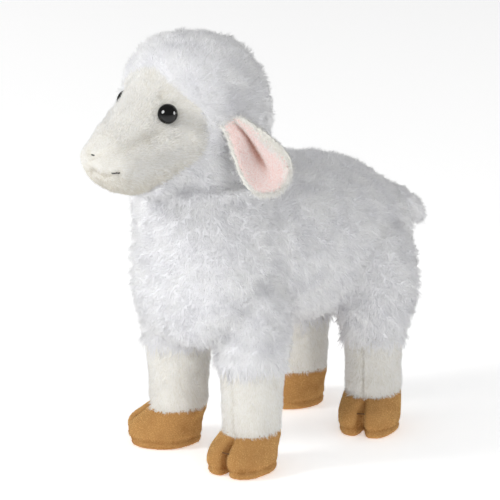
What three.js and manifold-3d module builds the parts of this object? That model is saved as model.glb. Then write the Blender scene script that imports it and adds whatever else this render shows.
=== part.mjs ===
// A plush sheep that stands on four stuffed legs, about 330 mm tall.
// Millimetres, +Z up. The sheep faces -Y, so its left side is +X.
// Every cover is a sewn shell whose wall is the knitted backing and the pile that stands on it,
// and the fibre filling inside it is a solid of its own.
import * as THREE from "three";
import { mergeVertices } from "three/addons/utils/BufferGeometryUtils.js";
import Module from "manifold-3d";

const wasm = await Module();
wasm.setup();

// Cloths and seams
const cloth = {
  fleeceWall: 7, // curly long pile of the body, hood and tail
  shortPileWall: 3.5, // face, legs and the backs of the ears
  velourWall: 2, // hooves and ear linings
  seamGap: 0.3, // between two pieces that are sewn edge to edge
  overrun: 2, // how far a cutting form runs past what it cuts
};

// Where the four legs stand, seen from above
const stance = { length: 125, width: 77 };

// Torso: a stuffed barrel along Y. Fullness under 1 squares the form's shoulders, over 1 points them
const torso = {
  centreY: 8,
  centreZ: 152.5,
  halfWidth: 62,
  halfLength: 115,
  halfHeight: 61.5,
  sag: 13, // how far the rump end hangs below the middle
  chestFullnessShare: 0.55,
  rumpFullnessShare: 0.78,
};

// Chest and neck: one upright barrel whose top leans forward to the head
const neck = {
  centreY: -64,
  centreZ: 150,
  halfWidth: 60,
  halfDepth: 61,
  depthBelow: 57,
  heightAbove: 110,
  lean: 46,
  narrowingShare: 0.12,
  fullnessShare: 0.55,
  seamHeight: 217, // the head turns on this seam
};

// Upper legs, covered in fleece, the short-pile sleeves below them, and the size of the hooves.
// girthShares runs up the upper leg from its hem: how far up, and how thick
const frontLeg = {
  hemHeight: 77,
  topHeight: 168,
  upperRadius: 31.5,
  tuckIn: 9, // how far the top of the upper leg leans under the body
  sleeveTopRadius: 25,
  sleeveEndRadius: 22.2,
  hoofHalfWidth: 24.5,
  hoofHalfLength: 29,
  hoofReach: 11.5, // the middle of the sole lies this far in front of the leg's middle
  girthShares: [
    [0, 0.84],
    [0.05, 0.9],
    [0.17, 0.96],
    [0.38, 1],
    [0.64, 0.96],
    [0.85, 0.78],
    [1, 0.42],
  ],
};
const rearLeg = {
  hemHeight: 67,
  topHeight: 168,
  upperRadius: 37,
  tuckIn: 11,
  sleeveTopRadius: 22.6,
  sleeveEndRadius: 21.6,
  hoofHalfWidth: 22.8,
  hoofHalfLength: 27.5,
  hoofReach: 8.5,
  girthShares: [
    [0, 0.67],
    [0.11, 0.74],
    [0.21, 0.84],
    [0.3, 0.93],
    [0.42, 0.97],
    [0.64, 1],
    [0.84, 0.86],
    [1, 0.45],
  ],
};

// Hooves: a two-toed velour shoe on a padded sole
const hoof = {
  height: 29,
  soleHeight: 6,
  soleTuck: 3.5, // how far the sole's lower edge rounds in
  cleftDepth: 9,
  cleftHalfAngle: 0.26, // radians
  stitchRadius: 0.8,
  stitchLength: 4,
  stitchRiseShare: 0.52, // how far up the cleft its stitch lies
};

// One entry for each leg: which side, which end, and how far its toes turn out, in degrees
const legs = [
  { name: "front_left", side: 1, end: -1, toeOut: 8, kind: frontLeg },
  { name: "front_right", side: -1, end: -1, toeOut: 42, kind: frontLeg },
  { name: "rear_left", side: 1, end: 1, toeOut: 26, kind: rearLeg },
  { name: "rear_right", side: -1, end: 1, toeOut: 40, kind: rearLeg },
];

// Hood: the fleece crown and cheeks of the head.
// edgeShares is its front edge seen from the side, as shares of its depth and height from its middle
const hood = {
  centreY: -84,
  centreZ: 265,
  halfWidth: 55.5,
  halfDepth: 59,
  heightAbove: 61,
  depthBelow: 61,
  lean: 4, // how far the crown leans forward
  proud: 4, // how far its edge stands out from the face
  crownFullnessShare: 0.8,
  jawFullnessShare: 0.42,
  edgeShares: [
    [-1.12, 0.69],
    [-0.88, 0.6],
    [-0.7, 0.38],
    [-0.54, 0.18],
    [-0.49, -0.02],
    [-0.54, -0.21],
    [-0.69, -0.39],
    [-0.9, -0.56],
    [-1.07, -0.74],
    [-1.2, -0.97],
  ],
};

// Face: the short-pile muzzle, from inside the hood to the tip of the nose.
// formShares runs along it: how far, half width, half height, and rise of the middle
const face = {
  backY: -86,
  noseY: -188,
  centreZ: 257,
  halfWidth: 45.5,
  halfHeight: 47,
  squarenessShare: 0.82,
  browNarrowingShare: 0.33, // how much narrower the top is than the middle
  formShares: [
    [0, 0.6, 0.5, 0.1],
    [0.02, 0.9, 0.75, 0.1],
    [0.16, 0.98, 0.86, 0.1],
    [0.28, 0.965, 0.9, 0.11],
    [0.38, 0.87, 0.88, 0.11],
    [0.48, 0.75, 0.82, 0.06],
    [0.6, 0.675, 0.695, -0.075],
    [0.74, 0.62, 0.565, -0.17],
    [0.86, 0.535, 0.395, -0.17],
    [0.925, 0.41, 0.25, -0.155],
    [0.97, 0.265, 0.155, -0.15],
    [0.993, 0.12, 0.07, -0.15],
    [1, 0.04, 0.03, -0.15],
  ],
};

// Eyes: domed plastic with a stem through the cloth and a lock washer on its inside.
// Places on the face are a share of its table and an angle round it, in degrees up from the side
const eye = {
  radius: 7,
  domeHeight: 4.6,
  rimHeight: 1.2,
  stemRadius: 1.6,
  stemLength: 12,
  alongShare: 0.41,
  round: 25,
  sink: 1, // how far the dome's base is pressed into the pile
  forward: 30, // degrees that each eye looks forward of straight sideways
  upward: 4,
  washerRadius: 7.5,
  washerThickness: 1.4,
  washerClearance: 0.2,
};

// Embroidered marks on the muzzle
const stitch = {
  radius: 0.9,
  noseLength: 3,
  noseAlongShare: 0.86,
  noseRound: 66,
  mouthLength: 5,
  mouthAlongShare: 0.73,
  mouthRound: -24,
  mouthYaw: 50, // degrees
  mouthRise: 14,
};

// Ears: two layers of cloth, folded together at the root and open like a spoon at the tip.
// widthShares runs along the ear: how far, and how wide the cloth is
const ear = {
  length: 60,
  halfArc: 21, // half the cloth's width, measured round its curl
  rootY: -96,
  rootZ: 270,
  liningRim: 2.4, // the lining stops this far inside the back's edge
  clothGap: 0.5, // between the back and the lining
  widthShares: [
    [0, 0.5],
    [0.12, 0.62],
    [0.3, 0.84],
    [0.5, 0.98],
    [0.7, 1],
    [0.84, 0.88],
    [0.93, 0.66],
    [0.985, 0.34],
    [1, 0.1],
  ],
  rootRadius: 11, // of the curl, which opens towards the tip
  tipRadius: 46,
  narrowestShare: 0.04,
  lowest: -8, // degrees of travel that the root leaves free
  highest: 60,
};

// How each soft ear hangs, in degrees: out and back from straight down,
// and how far its hollow side faces forward of straight out
const ears = [
  { name: "left", side: 1, outward: 33, backward: 13, turnedForward: 42 },
  { name: "right", side: -1, outward: 33, backward: 34, turnedForward: 46 },
];

// Tail: a short flap that hangs from the top of the rump.
// girthShares runs along the tail: how far, its width and its thickness
const tail = {
  length: 43,
  halfWidth: 17,
  halfThickness: 7,
  rootAngle: 72, // degrees along the torso from its middle to the tail's seam
  drop: 40, // degrees below the horizontal
  girthShares: [
    [0, 0.62, 0.6],
    [0.05, 0.78, 0.85],
    [0.25, 0.92, 1],
    [0.55, 1, 1],
    [0.8, 0.9, 0.85],
    [0.93, 0.62, 0.6],
    [1, 0.18, 0.2],
  ],
  lowest: -15,
  highest: 50,
};

// How finely the curves are cut
const facets = {
  barrel: { round: 24, along: 14 },
  barrelInside: { round: 12, along: 8 },
  limb: { round: 18, along: 8 },
  limbInside: { round: 10, along: 5 },
  hoof: 22,
  sleeve: 3,
  face: { round: 20, along: 15 },
  faceInside: { round: 12, along: 9 },
  ear: 6,
  earLength: 8,
  tail: 8,
  thread: 6,
  eye: 14,
  edge: 20,
  sweep: 4,
};

const degrees = THREE.MathUtils.degToRad;
const { lerp } = THREE.MathUtils;
const sides = { left: 1, right: -1 };
const { seamGap, overrun } = cloth;

const fabrics = {
  fleece: new THREE.MeshStandardMaterial({ color: 0xeeeff2, roughness: 0.95, metalness: 0 }),
  shortPile: new THREE.MeshStandardMaterial({ color: 0xebe9e0, roughness: 0.9, metalness: 0 }),
  velour: new THREE.MeshStandardMaterial({ color: 0xb5813f, roughness: 0.85, metalness: 0 }),
  lining: new THREE.MeshStandardMaterial({ color: 0xf3d3d0, roughness: 0.85, metalness: 0 }),
  filling: new THREE.MeshStandardMaterial({ color: 0xf7f7f5, roughness: 1, metalness: 0 }),
  eyePlastic: new THREE.MeshStandardMaterial({ color: 0x0b0a0a, roughness: 0.08, metalness: 0 }),
  washerPlastic: new THREE.MeshStandardMaterial({ color: 0xd9d9d4, roughness: 0.5, metalness: 0 }),
  darkThread: new THREE.MeshStandardMaterial({ color: 0x4b4744, roughness: 0.8, metalness: 0 }),
  tanThread: new THREE.MeshStandardMaterial({ color: 0x7b5527, roughness: 0.8, metalness: 0 }),
};

// A three.js geometry as a manifold solid, facing outwards
function solidOf(geometry) {
  const bare = new THREE.BufferGeometry();
  bare.setAttribute("position", geometry.getAttribute("position"));
  if (geometry.index) bare.setIndex(geometry.index);
  const merged = mergeVertices(bare, 1e-4);
  const vertProperties = merged.getAttribute("position").array;
  const corners = merged.index.array;
  const turned = new Uint32Array(corners.length);
  for (let i = 0; i < corners.length; i += 3) {
    turned.set([corners[i], corners[i + 2], corners[i + 1]], i);
  }
  const [made, flipped] = [new Uint32Array(corners), turned].map(
    (triVerts) => new wasm.Manifold(new wasm.Mesh({ numProp: 3, vertProperties, triVerts })),
  );
  return made.volume() > 0 ? made : flipped;
}

// The largest body of a solid, without the slivers that a cut may leave
function largest(solid) {
  return solid.decompose().reduce((a, b) => (a.volume() > b.volume() ? a : b));
}

const sheep = new THREE.Group();

// Adds a solid to the sheep as one named mesh
function addPiece(name, solid, material) {
  const { numProp, vertProperties, triVerts } = largest(solid).getMesh();
  const places = new Float32Array((vertProperties.length / numProp) * 3);
  for (let i = 0; i < places.length / 3; i++) {
    places.set(vertProperties.subarray(i * numProp, i * numProp + 3), i * 3);
  }
  const geometry = new THREE.BufferGeometry();
  geometry.setAttribute("position", new THREE.BufferAttribute(places, 3));
  geometry.setIndex(new THREE.BufferAttribute(triVerts, 1));
  geometry.computeVertexNormals();
  const mesh = new THREE.Mesh(geometry, material);
  mesh.name = name;
  sheep.add(mesh);
}

// A closed skin over a row of rings, each a loop of as many points
function skinned(rings) {
  const count = rings[0].length;
  const points = rings.flat();
  const index = [];
  for (let r = 0; r + 1 < rings.length; r++) {
    for (let i = 0; i < count; i++) {
      const a = r * count + i;
      const b = r * count + ((i + 1) % count);
      index.push(a, b, b + count, a, b + count, a + count);
    }
  }
  for (const [ring, first] of [[rings[0], 0], [rings.at(-1), points.length - count]]) {
    const middle = points.length;
    points.push(ring.reduce((sum, p) => sum.add(p), new THREE.Vector3()).divideScalar(count));
    for (let i = 0; i < count; i++) {
      const next = first + ((i + 1) % count);
      index.push(...(first ? [first + i, next, middle] : [next, first + i, middle]));
    }
  }
  const geometry = new THREE.BufferGeometry().setFromPoints(points);
  geometry.setIndex(index);
  return solidOf(geometry);
}

// Angles round a full turn
function turns(count) {
  return Array.from({ length: count }, (_, i) => (i / count) * 2 * Math.PI);
}

// Evenly spaced numbers from 0 to 1
function evenly(steps) {
  return Array.from({ length: steps + 1 }, (_, i) => i / steps);
}

// A table's row at a place from 0 to 1, on the smooth curve through its rows
function rowAt(rows, place) {
  const at = Math.min(Math.floor(place * (rows.length - 1)), rows.length - 2);
  const u = place * (rows.length - 1) - at;
  const near = [at - 1, at, at + 1, at + 2];
  const [a, b, c, d] = near.map((i) => rows[THREE.MathUtils.clamp(i, 0, rows.length - 1)]);
  return b.map((value, k) => {
    const slope = c[k] - a[k];
    const bend = 2 * a[k] - 5 * value + 4 * c[k] - d[k];
    const twist = 3 * (value - c[k]) + d[k] - a[k];
    return value + (u * (slope + u * (bend + u * twist))) / 2;
  });
}

// A number to a power, keeping its sign
function power(value, exponent) {
  return Math.sign(value) * Math.abs(value) ** exponent;
}

// The places along a stuffed barrel, just short of its tips, and its girth there, both as shares
function barrelRings(steps, fullness) {
  const reach = Math.PI / 2 - barrelTipShare;
  return evenly(steps).map((share) => {
    const angle = reach * (2 * share - 1);
    return { place: Math.sin(angle), girth: Math.cos(angle) ** fullness(angle) };
  });
}
const barrelTipShare = 0.12;

// Torso
function torsoFullness(angle) {
  return angle < 0 ? torso.chestFullnessShare : torso.rumpFullnessShare;
}

function torsoPoint({ place, girth }, round, inset) {
  return new THREE.Vector3(
    (torso.halfWidth - inset) * girth * Math.cos(round),
    torso.centreY + (torso.halfLength - inset) * place,
    torso.centreZ - torso.sag * place + (torso.halfHeight - inset) * girth * Math.sin(round),
  );
}

function torsoForm(inset) {
  const { round, along } = inset > 0 ? facets.barrelInside : facets.barrel;
  const rings = barrelRings(along, torsoFullness);
  return skinned(rings.map((ring) => turns(round).map((angle) => torsoPoint(ring, angle, inset))));
}

// An upright barrel round a vertical line. The top may lean forward and be narrower than the bottom
function uprightBarrel({ y, z, halfWidth, halfDepth, above, below, lean = 0, narrowing = 0, fullness, cut }) {
  return skinned(
    barrelRings(cut.along, fullness).map(({ place, girth }) => {
      const wide = girth * (1 - narrowing * place);
      const forward = lean * Math.max(0, place) ** 2;
      return turns(cut.round).map(
        (round) =>
          new THREE.Vector3(
            halfWidth * wide * Math.cos(round),
            y - forward + halfDepth * wide * Math.sin(round),
            z + (place < 0 ? below : above) * place,
          ),
      );
    }),
  );
}

function neckForm(inset) {
  return uprightBarrel({
    y: neck.centreY,
    z: neck.centreZ,
    halfWidth: neck.halfWidth - inset,
    halfDepth: neck.halfDepth - inset,
    above: neck.heightAbove,
    below: neck.depthBelow - inset,
    lean: neck.lean,
    narrowing: neck.narrowingShare,
    fullness: () => neck.fullnessShare,
    cut: inset > 0 ? facets.barrelInside : facets.barrel,
  });
}

function legX(leg) {
  return (leg.side * stance.width) / 2;
}

function legY(leg) {
  return (leg.end * stance.length) / 2;
}

// Upper leg, from a little below its hem to where it ends inside the body
function upperLegForm(leg, inset) {
  const { hemHeight, topHeight, upperRadius, tuckIn, girthShares } = leg.kind;
  const { round, along } = inset > 0 ? facets.limbInside : facets.limb;
  const rows = evenly(along).map((place) => rowAt(girthShares, place));
  const belowHem = [-overrun / (topHeight - hemHeight), rows[0][1]];
  return skinned(
    [belowHem, ...rows].map(([rise, girth]) => {
      const reach = upperRadius * girth - inset;
      const x = legX(leg) - leg.side * tuckIn * Math.max(0, rise) ** 2;
      const height = lerp(hemHeight, topHeight - inset, rise);
      return turns(round).map(
        (angle) =>
          new THREE.Vector3(x + reach * Math.cos(angle), legY(leg) + reach * Math.sin(angle), height),
      );
    }),
  );
}

// The part of a solid above a height, and the part below it
function above(solid, height) {
  return solid.trimByPlane([0, 0, 1], height);
}

function below(solid, height) {
  return solid.trimByPlane([0, 0, -1], -height);
}

// The whole body's inside, where the filling goes
function bodyInside(inset) {
  return legs.reduce((all, leg) => all.add(upperLegForm(leg, inset)), torsoForm(inset).add(neckForm(inset)));
}

const bodyHollow = bodyInside(cloth.fleeceWall);
const neckTop = neck.seamHeight - seamGap;
addPiece("torso_cover", torsoForm(0).subtract(bodyHollow), fabrics.fleece);
const torsoCutter = torsoForm(-seamGap);
const neckShell = neckForm(0).subtract(torsoCutter).subtract(bodyHollow);
addPiece("neck_cover", below(neckShell, neckTop), fabrics.fleece);
const trunkCutter = torsoCutter.add(neckForm(-seamGap));
for (const leg of legs) {
  const cover = upperLegForm(leg, 0).subtract(trunkCutter).subtract(bodyHollow);
  addPiece(leg.name + "_upper_cover", above(cover, leg.kind.hemHeight), fabrics.fleece);
}

// Body filling, which ends at the legs' hems and at the neck's seam
let bodyFilling = below(bodyInside(cloth.fleeceWall + seamGap), neckTop);
for (const leg of legs) {
  const { hemHeight } = leg.kind;
  const corner = new THREE.BoxGeometry(stance.width, stance.length, hemHeight);
  corner.translate((leg.side * stance.width) / 2, (leg.end * stance.length) / 2, hemHeight / 2);
  bodyFilling = bodyFilling.subtract(solidOf(corner));
}
addPiece("body_filling", bodyFilling, fabrics.filling);

// A solid of revolution about a vertical axis. The profile's points are [radius, height]
function turned(profile, count) {
  const points = profile.map(([r, h]) => new THREE.Vector2(r, h));
  return solidOf(new THREE.LatheGeometry(points, count).rotateX(Math.PI / 2));
}

// A sleeve's outside, a little narrower in the middle than a straight taper
function sleeveProfile({ hemHeight, sleeveTopRadius, sleeveEndRadius }, inset, bottom, top) {
  return evenly(facets.sleeve).map((share) => {
    const height = lerp(bottom, top, share);
    const rise = (height - hoof.height) / (hemHeight - hoof.height);
    const waist = 1 - sleeveWaistShare * Math.sin(Math.PI * THREE.MathUtils.clamp(rise, 0, 1));
    return [lerp(sleeveEndRadius, sleeveTopRadius, rise) * waist - inset, height];
  });
}
const sleeveWaistShare = 0.025;

// Hoof outline: how far it reaches from its middle. The cleft is at the front, where round is zero
function hoofOutline({ hoofHalfLength, hoofHalfWidth }, round, cleftShare) {
  const oval = 1 / Math.hypot(Math.cos(round) / hoofHalfLength, Math.sin(round) / hoofHalfWidth);
  const fromFront = Math.atan2(Math.sin(round), Math.cos(round));
  const notch = Math.exp(-((fromFront / hoof.cleftHalfAngle) ** 2));
  return oval - hoof.cleftDepth * cleftShare * notch;
}

// A point on the hoof. spread is 0 at the leg's opening and 1 where the toes are longest
function hoofPoint(kind, round, height, [spread, cleftShare], inset) {
  const reach = lerp(kind.sleeveEndRadius, hoofOutline(kind, round, cleftShare), spread) - inset;
  const forward = kind.hoofReach * spread + reach * Math.cos(round);
  return new THREE.Vector3(reach * Math.sin(round), -forward, height);
}

// Up the hoof's upper: how far it has spread to the toes, and how deep the cleft is
const hoofShares = [
  [0.97, 1],
  [1, 1],
  [0.97, 0.97],
  [0.84, 0.9],
  [0.6, 0.75],
  [0.28, 0.45],
  [0, 0],
];
const hoofBottom = hoof.soleHeight + seamGap;
const hoofTop = hoof.height - seamGap;

function hoofForm(kind, inset, runPast) {
  const rings = hoofShares.map((row, i) => [lerp(hoofBottom, hoofTop, i / (hoofShares.length - 1)), row]);
  if (runPast) {
    rings.unshift([hoofBottom - runPast, hoofShares[0]]);
    rings.push([hoofTop + runPast, hoofShares.at(-1)]);
  }
  return skinned(
    rings.map(([height, row]) => turns(facets.hoof).map((round) => hoofPoint(kind, round, height, row, inset))),
  );
}

// Up the sole: how far, and how much of its tuck it still has
const soleShares = [
  [0, 1],
  [0.3, 0.3],
  [0.65, 0],
  [1, 0],
];

function soleForm(kind) {
  return skinned(
    soleShares.map(([rise, tuckShare]) =>
      turns(facets.hoof).map((round) =>
        hoofPoint(kind, round, hoof.soleHeight * rise, hoofShares[0], hoof.soleTuck * tuckShare),
      ),
    ),
  );
}

// The stitch that draws the cleft in, half sunk in the groove
function cleftStitch(kind, grow) {
  const bar = new THREE.CapsuleGeometry(hoof.stitchRadius + grow, hoof.stitchLength, 2, facets.thread);
  const height = lerp(hoofBottom, hoofTop, hoof.stitchRiseShare);
  const place = hoofPoint(kind, 0, height, rowAt(hoofShares, hoof.stitchRiseShare), 0);
  return solidOf(bar.rotateZ(Math.PI / 2).translate(place.x, place.y, place.z));
}

// Turns a foot's solid by its toe-out angle and stands it under its leg
function underLeg(leg, solid) {
  return solid.rotate([0, 0, leg.side * leg.toeOut]).translate([legX(leg), legY(leg), 0]);
}

for (const leg of legs) {
  const { kind, name } = leg;
  const sleeveTop = kind.hemHeight - seamGap;
  const outside = sleeveProfile(kind, 0, hoof.height, sleeveTop);
  const inside = sleeveProfile(kind, cloth.shortPileWall, hoof.height, sleeveTop).reverse();
  const sleeve = turned([...outside, ...inside, outside[0]], facets.limb.round);
  addPiece(name + "_leg_sleeve", underLeg(leg, sleeve), fabrics.shortPile);
  const shell = hoofForm(kind, 0, 0).subtract(hoofForm(kind, cloth.velourWall, overrun));
  addPiece(name + "_hoof_upper", underLeg(leg, shell.subtract(cleftStitch(kind, seamGap))), fabrics.velour);
  addPiece(name + "_hoof_sole", underLeg(leg, soleForm(kind)), fabrics.velour);
  addPiece(name + "_cleft_stitch", underLeg(leg, cleftStitch(kind, 0)), fabrics.tanThread);
  const column = sleeveProfile(kind, cloth.shortPileWall + seamGap, hoofTop - overrun, sleeveTop);
  const core = turned([[0, column[0][1]], ...column, [0, sleeveTop]], facets.limb.round);
  const toes = hoofForm(kind, cloth.velourWall + seamGap, 0);
  addPiece(name + "_leg_filling", underLeg(leg, core.add(toes)), fabrics.filling);
}

// Hood
function hoodFullness(angle) {
  return angle < 0 ? hood.jawFullnessShare : hood.crownFullnessShare;
}

function crownForm(inset) {
  return uprightBarrel({
    y: hood.centreY,
    z: hood.centreZ,
    halfWidth: hood.halfWidth - inset,
    halfDepth: hood.halfDepth - inset,
    above: hood.heightAbove - inset,
    below: hood.depthBelow,
    lean: hood.lean,
    fullness: hoodFullness,
    cut: inset > 0 ? facets.barrelInside : facets.barrel,
  });
}

// The crown, and the cheeks that follow the face at a small distance
function hoodForm(inset) {
  return crownForm(inset).add(faceForm(inset - hood.proud));
}

// Everything in front of the hood's front edge, moved by a shift forward and down
function faceWindow(shift) {
  const edge = evenly(facets.edge).map((place) => {
    const [along, rise] = rowAt(hood.edgeShares, place);
    const height = rise > 0 ? hood.heightAbove : hood.depthBelow;
    return new THREE.Vector2(hood.centreY + hood.halfDepth * along, hood.centreZ + height * rise);
  });
  const front = face.noseY - overrun;
  const shape = new THREE.Shape([
    new THREE.Vector2(front, edge[0].y),
    ...edge,
    new THREE.Vector2(front, edge.at(-1).y),
  ]);
  const depth = 2 * (hood.halfWidth + overrun);
  const block = new THREE.ExtrudeGeometry(shape, { depth, bevelEnabled: false });
  block.translate(-2 * shift, -shift, -depth / 2);
  const along = new THREE.Matrix4().makeBasis(
    new THREE.Vector3(0, 1, 0),
    new THREE.Vector3(0, 0, 1),
    new THREE.Vector3(1, 0, 0),
  );
  return solidOf(block.applyMatrix4(along));
}

// A point on the face, by the place in its table and the angle round it
function facePoint(place, round, inset) {
  const [along, wide, tall, rise] = rowAt(face.formShares, place);
  const up = power(Math.sin(round), face.squarenessShare);
  const across = power(Math.cos(round), face.squarenessShare);
  const halfWidth = Math.max(face.halfWidth * wide - inset, inset * tipInsetShare);
  const halfHeight = Math.max(face.halfHeight * tall - inset, inset * tipInsetShare);
  return new THREE.Vector3(
    halfWidth * across * (1 - face.browNarrowingShare * Math.max(0, up)),
    lerp(face.backY - inset, face.noseY + inset, along),
    face.centreZ + face.halfHeight * rise + halfHeight * up,
  );
}
const tipInsetShare = 0.1;

function faceForm(inset) {
  const { round, along } = inset > 0 ? facets.faceInside : facets.face;
  return skinned(evenly(along).map((place) => turns(round).map((angle) => facePoint(place, angle, inset))));
}

// Moves a solid from the origin to a place on the left of the face, and mirrors it for the right
function onFace(solid, alongShare, round, side) {
  const { x, y, z } = facePoint(alongShare, degrees(round), 0);
  return solid.translate([x, y, z]).scale([side, 1, 1]);
}

// Something turned about an eye's own axis, aimed outwards. Heights are from the dome's base
function eyeTurning(profile, side) {
  const sunk = turned(profile, facets.eye).translate([0, 0, -eye.sink]);
  const aimed = sunk.rotate([0, 90 - eye.upward, 0]).rotate([0, 0, -eye.forward]);
  return onFace(aimed, eye.alongShare, eye.round, side);
}

function eyeSolid(side, grow) {
  const stem = eye.stemRadius + grow;
  const radius = eye.radius + grow;
  const round = eye.domeHeight - eye.rimHeight + grow;
  const dome = evenly(eyeDomeSteps).map((share) => {
    const angle = (share * Math.PI) / 2;
    return [radius * Math.cos(angle), eye.rimHeight + round * Math.sin(angle)];
  });
  dome.at(-1)[0] = 0;
  const end = -eye.stemLength - grow;
  return eyeTurning([[0, end], [stem, end], [stem, -grow], [radius, -grow], ...dome], side);
}
const eyeDomeSteps = 5;

// The washer is pushed on until it presses the inside of the cover flat
function washerSolid(side, grow) {
  const hole = grow ? 0 : eye.stemRadius + eye.washerClearance;
  const rim = eye.washerRadius + grow;
  const top = -(cloth.shortPileWall + seamGap) * washerDepthShare + grow;
  const bottom = top - eye.washerThickness - 2 * grow;
  const corners = [[hole, bottom], [rim, bottom], [rim, top], [hole, top]];
  if (hole) corners.push(corners[0]);
  return eyeTurning(corners, side);
}
const washerDepthShare = 1.25;

// A short bar of thread, half sunk in the pile
function threadBar(length, grow) {
  const bar = new THREE.CapsuleGeometry(stitch.radius + grow, length, 2, facets.thread);
  return solidOf(bar.rotateZ(Math.PI / 2));
}

function mouthStitch(side, grow) {
  const bar = threadBar(stitch.mouthLength, grow).rotate([0, -stitch.mouthRise, stitch.mouthYaw]);
  return onFace(bar, stitch.mouthAlongShare, stitch.mouthRound, side);
}

function noseStitch(grow) {
  const { y, z } = facePoint(stitch.noseAlongShare, degrees(stitch.noseRound), 0);
  return threadBar(stitch.noseLength, grow).translate([0, y, z]);
}

// Head
const headHollow = crownForm(cloth.fleeceWall).add(faceForm(cloth.shortPileWall));
const hoodShell = hoodForm(0).subtract(faceWindow(0)).subtract(headHollow);
addPiece("hood_cover", above(hoodShell, neck.seamHeight), fabrics.fleece);
const hoodCutter = hoodForm(-seamGap).subtract(faceWindow(seamGap));
let faceShell = faceForm(0).subtract(hoodCutter).subtract(headHollow).subtract(noseStitch(seamGap));
let headFilling = crownForm(cloth.fleeceWall + seamGap).add(faceForm(cloth.shortPileWall + seamGap));
for (const side of Object.values(sides)) {
  const eyeRoom = eyeSolid(side, seamGap).add(washerSolid(side, seamGap));
  faceShell = faceShell.subtract(eyeRoom).subtract(mouthStitch(side, seamGap));
  headFilling = headFilling.subtract(eyeRoom);
}
addPiece("face_cover", above(faceShell, neck.seamHeight), fabrics.shortPile);
addPiece("head_filling", above(headFilling, neck.seamHeight), fabrics.filling);
addPiece("nose_stitch", noseStitch(0), fabrics.darkThread);
for (const [name, side] of Object.entries(sides)) {
  addPiece(name + "_eye", eyeSolid(side, 0), fabrics.eyePlastic);
  addPiece(name + "_eye_washer", washerSolid(side, 0), fabrics.washerPlastic);
  addPiece(name + "_mouth_stitch", mouthStitch(side, 0), fabrics.darkThread);
}

const liningDepth = cloth.shortPileWall + ear.clothGap;
const tipRimShare = 8; // a high power keeps the two cloths' rings level except at the tip

// A sheet of ear cloth between two depths from the ear's back, curled about the ear's own length
function earSheet(nearDepth, farDepth, rim) {
  return skinned(
    evenly(facets.earLength).map((place) => {
      const [along, wide] = rowAt(ear.widthShares, place);
      const radius = lerp(ear.rootRadius, ear.tipRadius, along);
      const half = Math.max(ear.halfArc * wide - rim, ear.halfArc * ear.narrowestShare) / radius;
      const angles = evenly(facets.ear).map((share) => half * (2 * share - 1));
      const point = (angle, depth) =>
        new THREE.Vector3(
          (radius - depth) * Math.sin(angle),
          -ear.length * along + rim * along ** tipRimShare,
          radius - (radius - depth) * Math.cos(angle),
        );
      return [...angles.map((a) => point(a, nearDepth)), ...angles.reverse().map((a) => point(a, farDepth))];
    }),
  );
}

// Where the left ear is sewn to the hood, and the level line that it hinges on
const earSeat = (() => {
  const place = (ear.rootZ - hood.centreZ) / hood.heightAbove;
  const girth = Math.sqrt(1 - place ** 2) ** hood.crownFullnessShare;
  const back = (ear.rootY - hood.centreY) / (hood.halfDepth * girth);
  const x = hood.halfWidth * girth * Math.sqrt(1 - back ** 2);
  const outward = new THREE.Vector3(x / hood.halfWidth ** 2, (ear.rootY - hood.centreY) / hood.halfDepth ** 2, 0);
  outward.normalize();
  return {
    root: new THREE.Vector3(x + seamGap, ear.rootY, ear.rootZ),
    hinge: new THREE.Vector3(outward.y, -outward.x, 0),
  };
})();

// Stands ear cloth at the left root, its length hanging outwards and its hollow side facing out
function atEarRoot(solid, { outward, backward, turnedForward }) {
  const [out, back, turn] = [outward, backward, turnedForward].map(degrees);
  const along = new THREE.Vector3(
    Math.sin(out),
    Math.sin(back) * Math.cos(out),
    -Math.cos(back) * Math.cos(out),
  );
  const facing = new THREE.Vector3(Math.cos(turn), -Math.sin(turn), 0);
  facing.addScaledVector(along, -facing.dot(along)).normalize();
  const across = new THREE.Vector3().crossVectors(facing, along).normalize();
  const basis = new THREE.Matrix4().makeBasis(across, along.clone().negate(), facing);
  return solid.transform(basis.setPosition(earSeat.root).toArray());
}

// A solid turned by an angle in degrees about an axis through a point
function turnedAbout(solid, point, axis, angle) {
  const turn = new THREE.Matrix4().makeRotationAxis(axis, degrees(angle));
  const there = solid.translate([-point.x, -point.y, -point.z]).transform(turn.toArray());
  return there.translate([point.x, point.y, point.z]);
}

// Cuts a swinging piece back until it clears what carries it at every angle of its travel
function clearedOf(piece, carrier, point, axis, { lowest, highest }) {
  for (const share of evenly(facets.sweep)) {
    piece = piece.subtract(turnedAbout(carrier, point, axis, -lerp(lowest, highest, share)));
  }
  return largest(piece);
}

const earCloths = {
  ear_back: [earSheet(0, cloth.shortPileWall, 0), fabrics.shortPile],
  ear_lining: [earSheet(liningDepth, liningDepth + cloth.velourWall, ear.liningRim), fabrics.lining],
};
const earCarrier = hoodForm(-seamGap);
for (const [label, [sheet, material]] of Object.entries(earCloths)) {
  for (const hanging of ears) {
    const hung = atEarRoot(sheet, hanging);
    const cleared = clearedOf(hung, earCarrier, earSeat.root, earSeat.hinge, ear);
    addPiece(hanging.name + "_" + label, cleared.scale([hanging.side, 1, 1]), material);
  }
}

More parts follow.
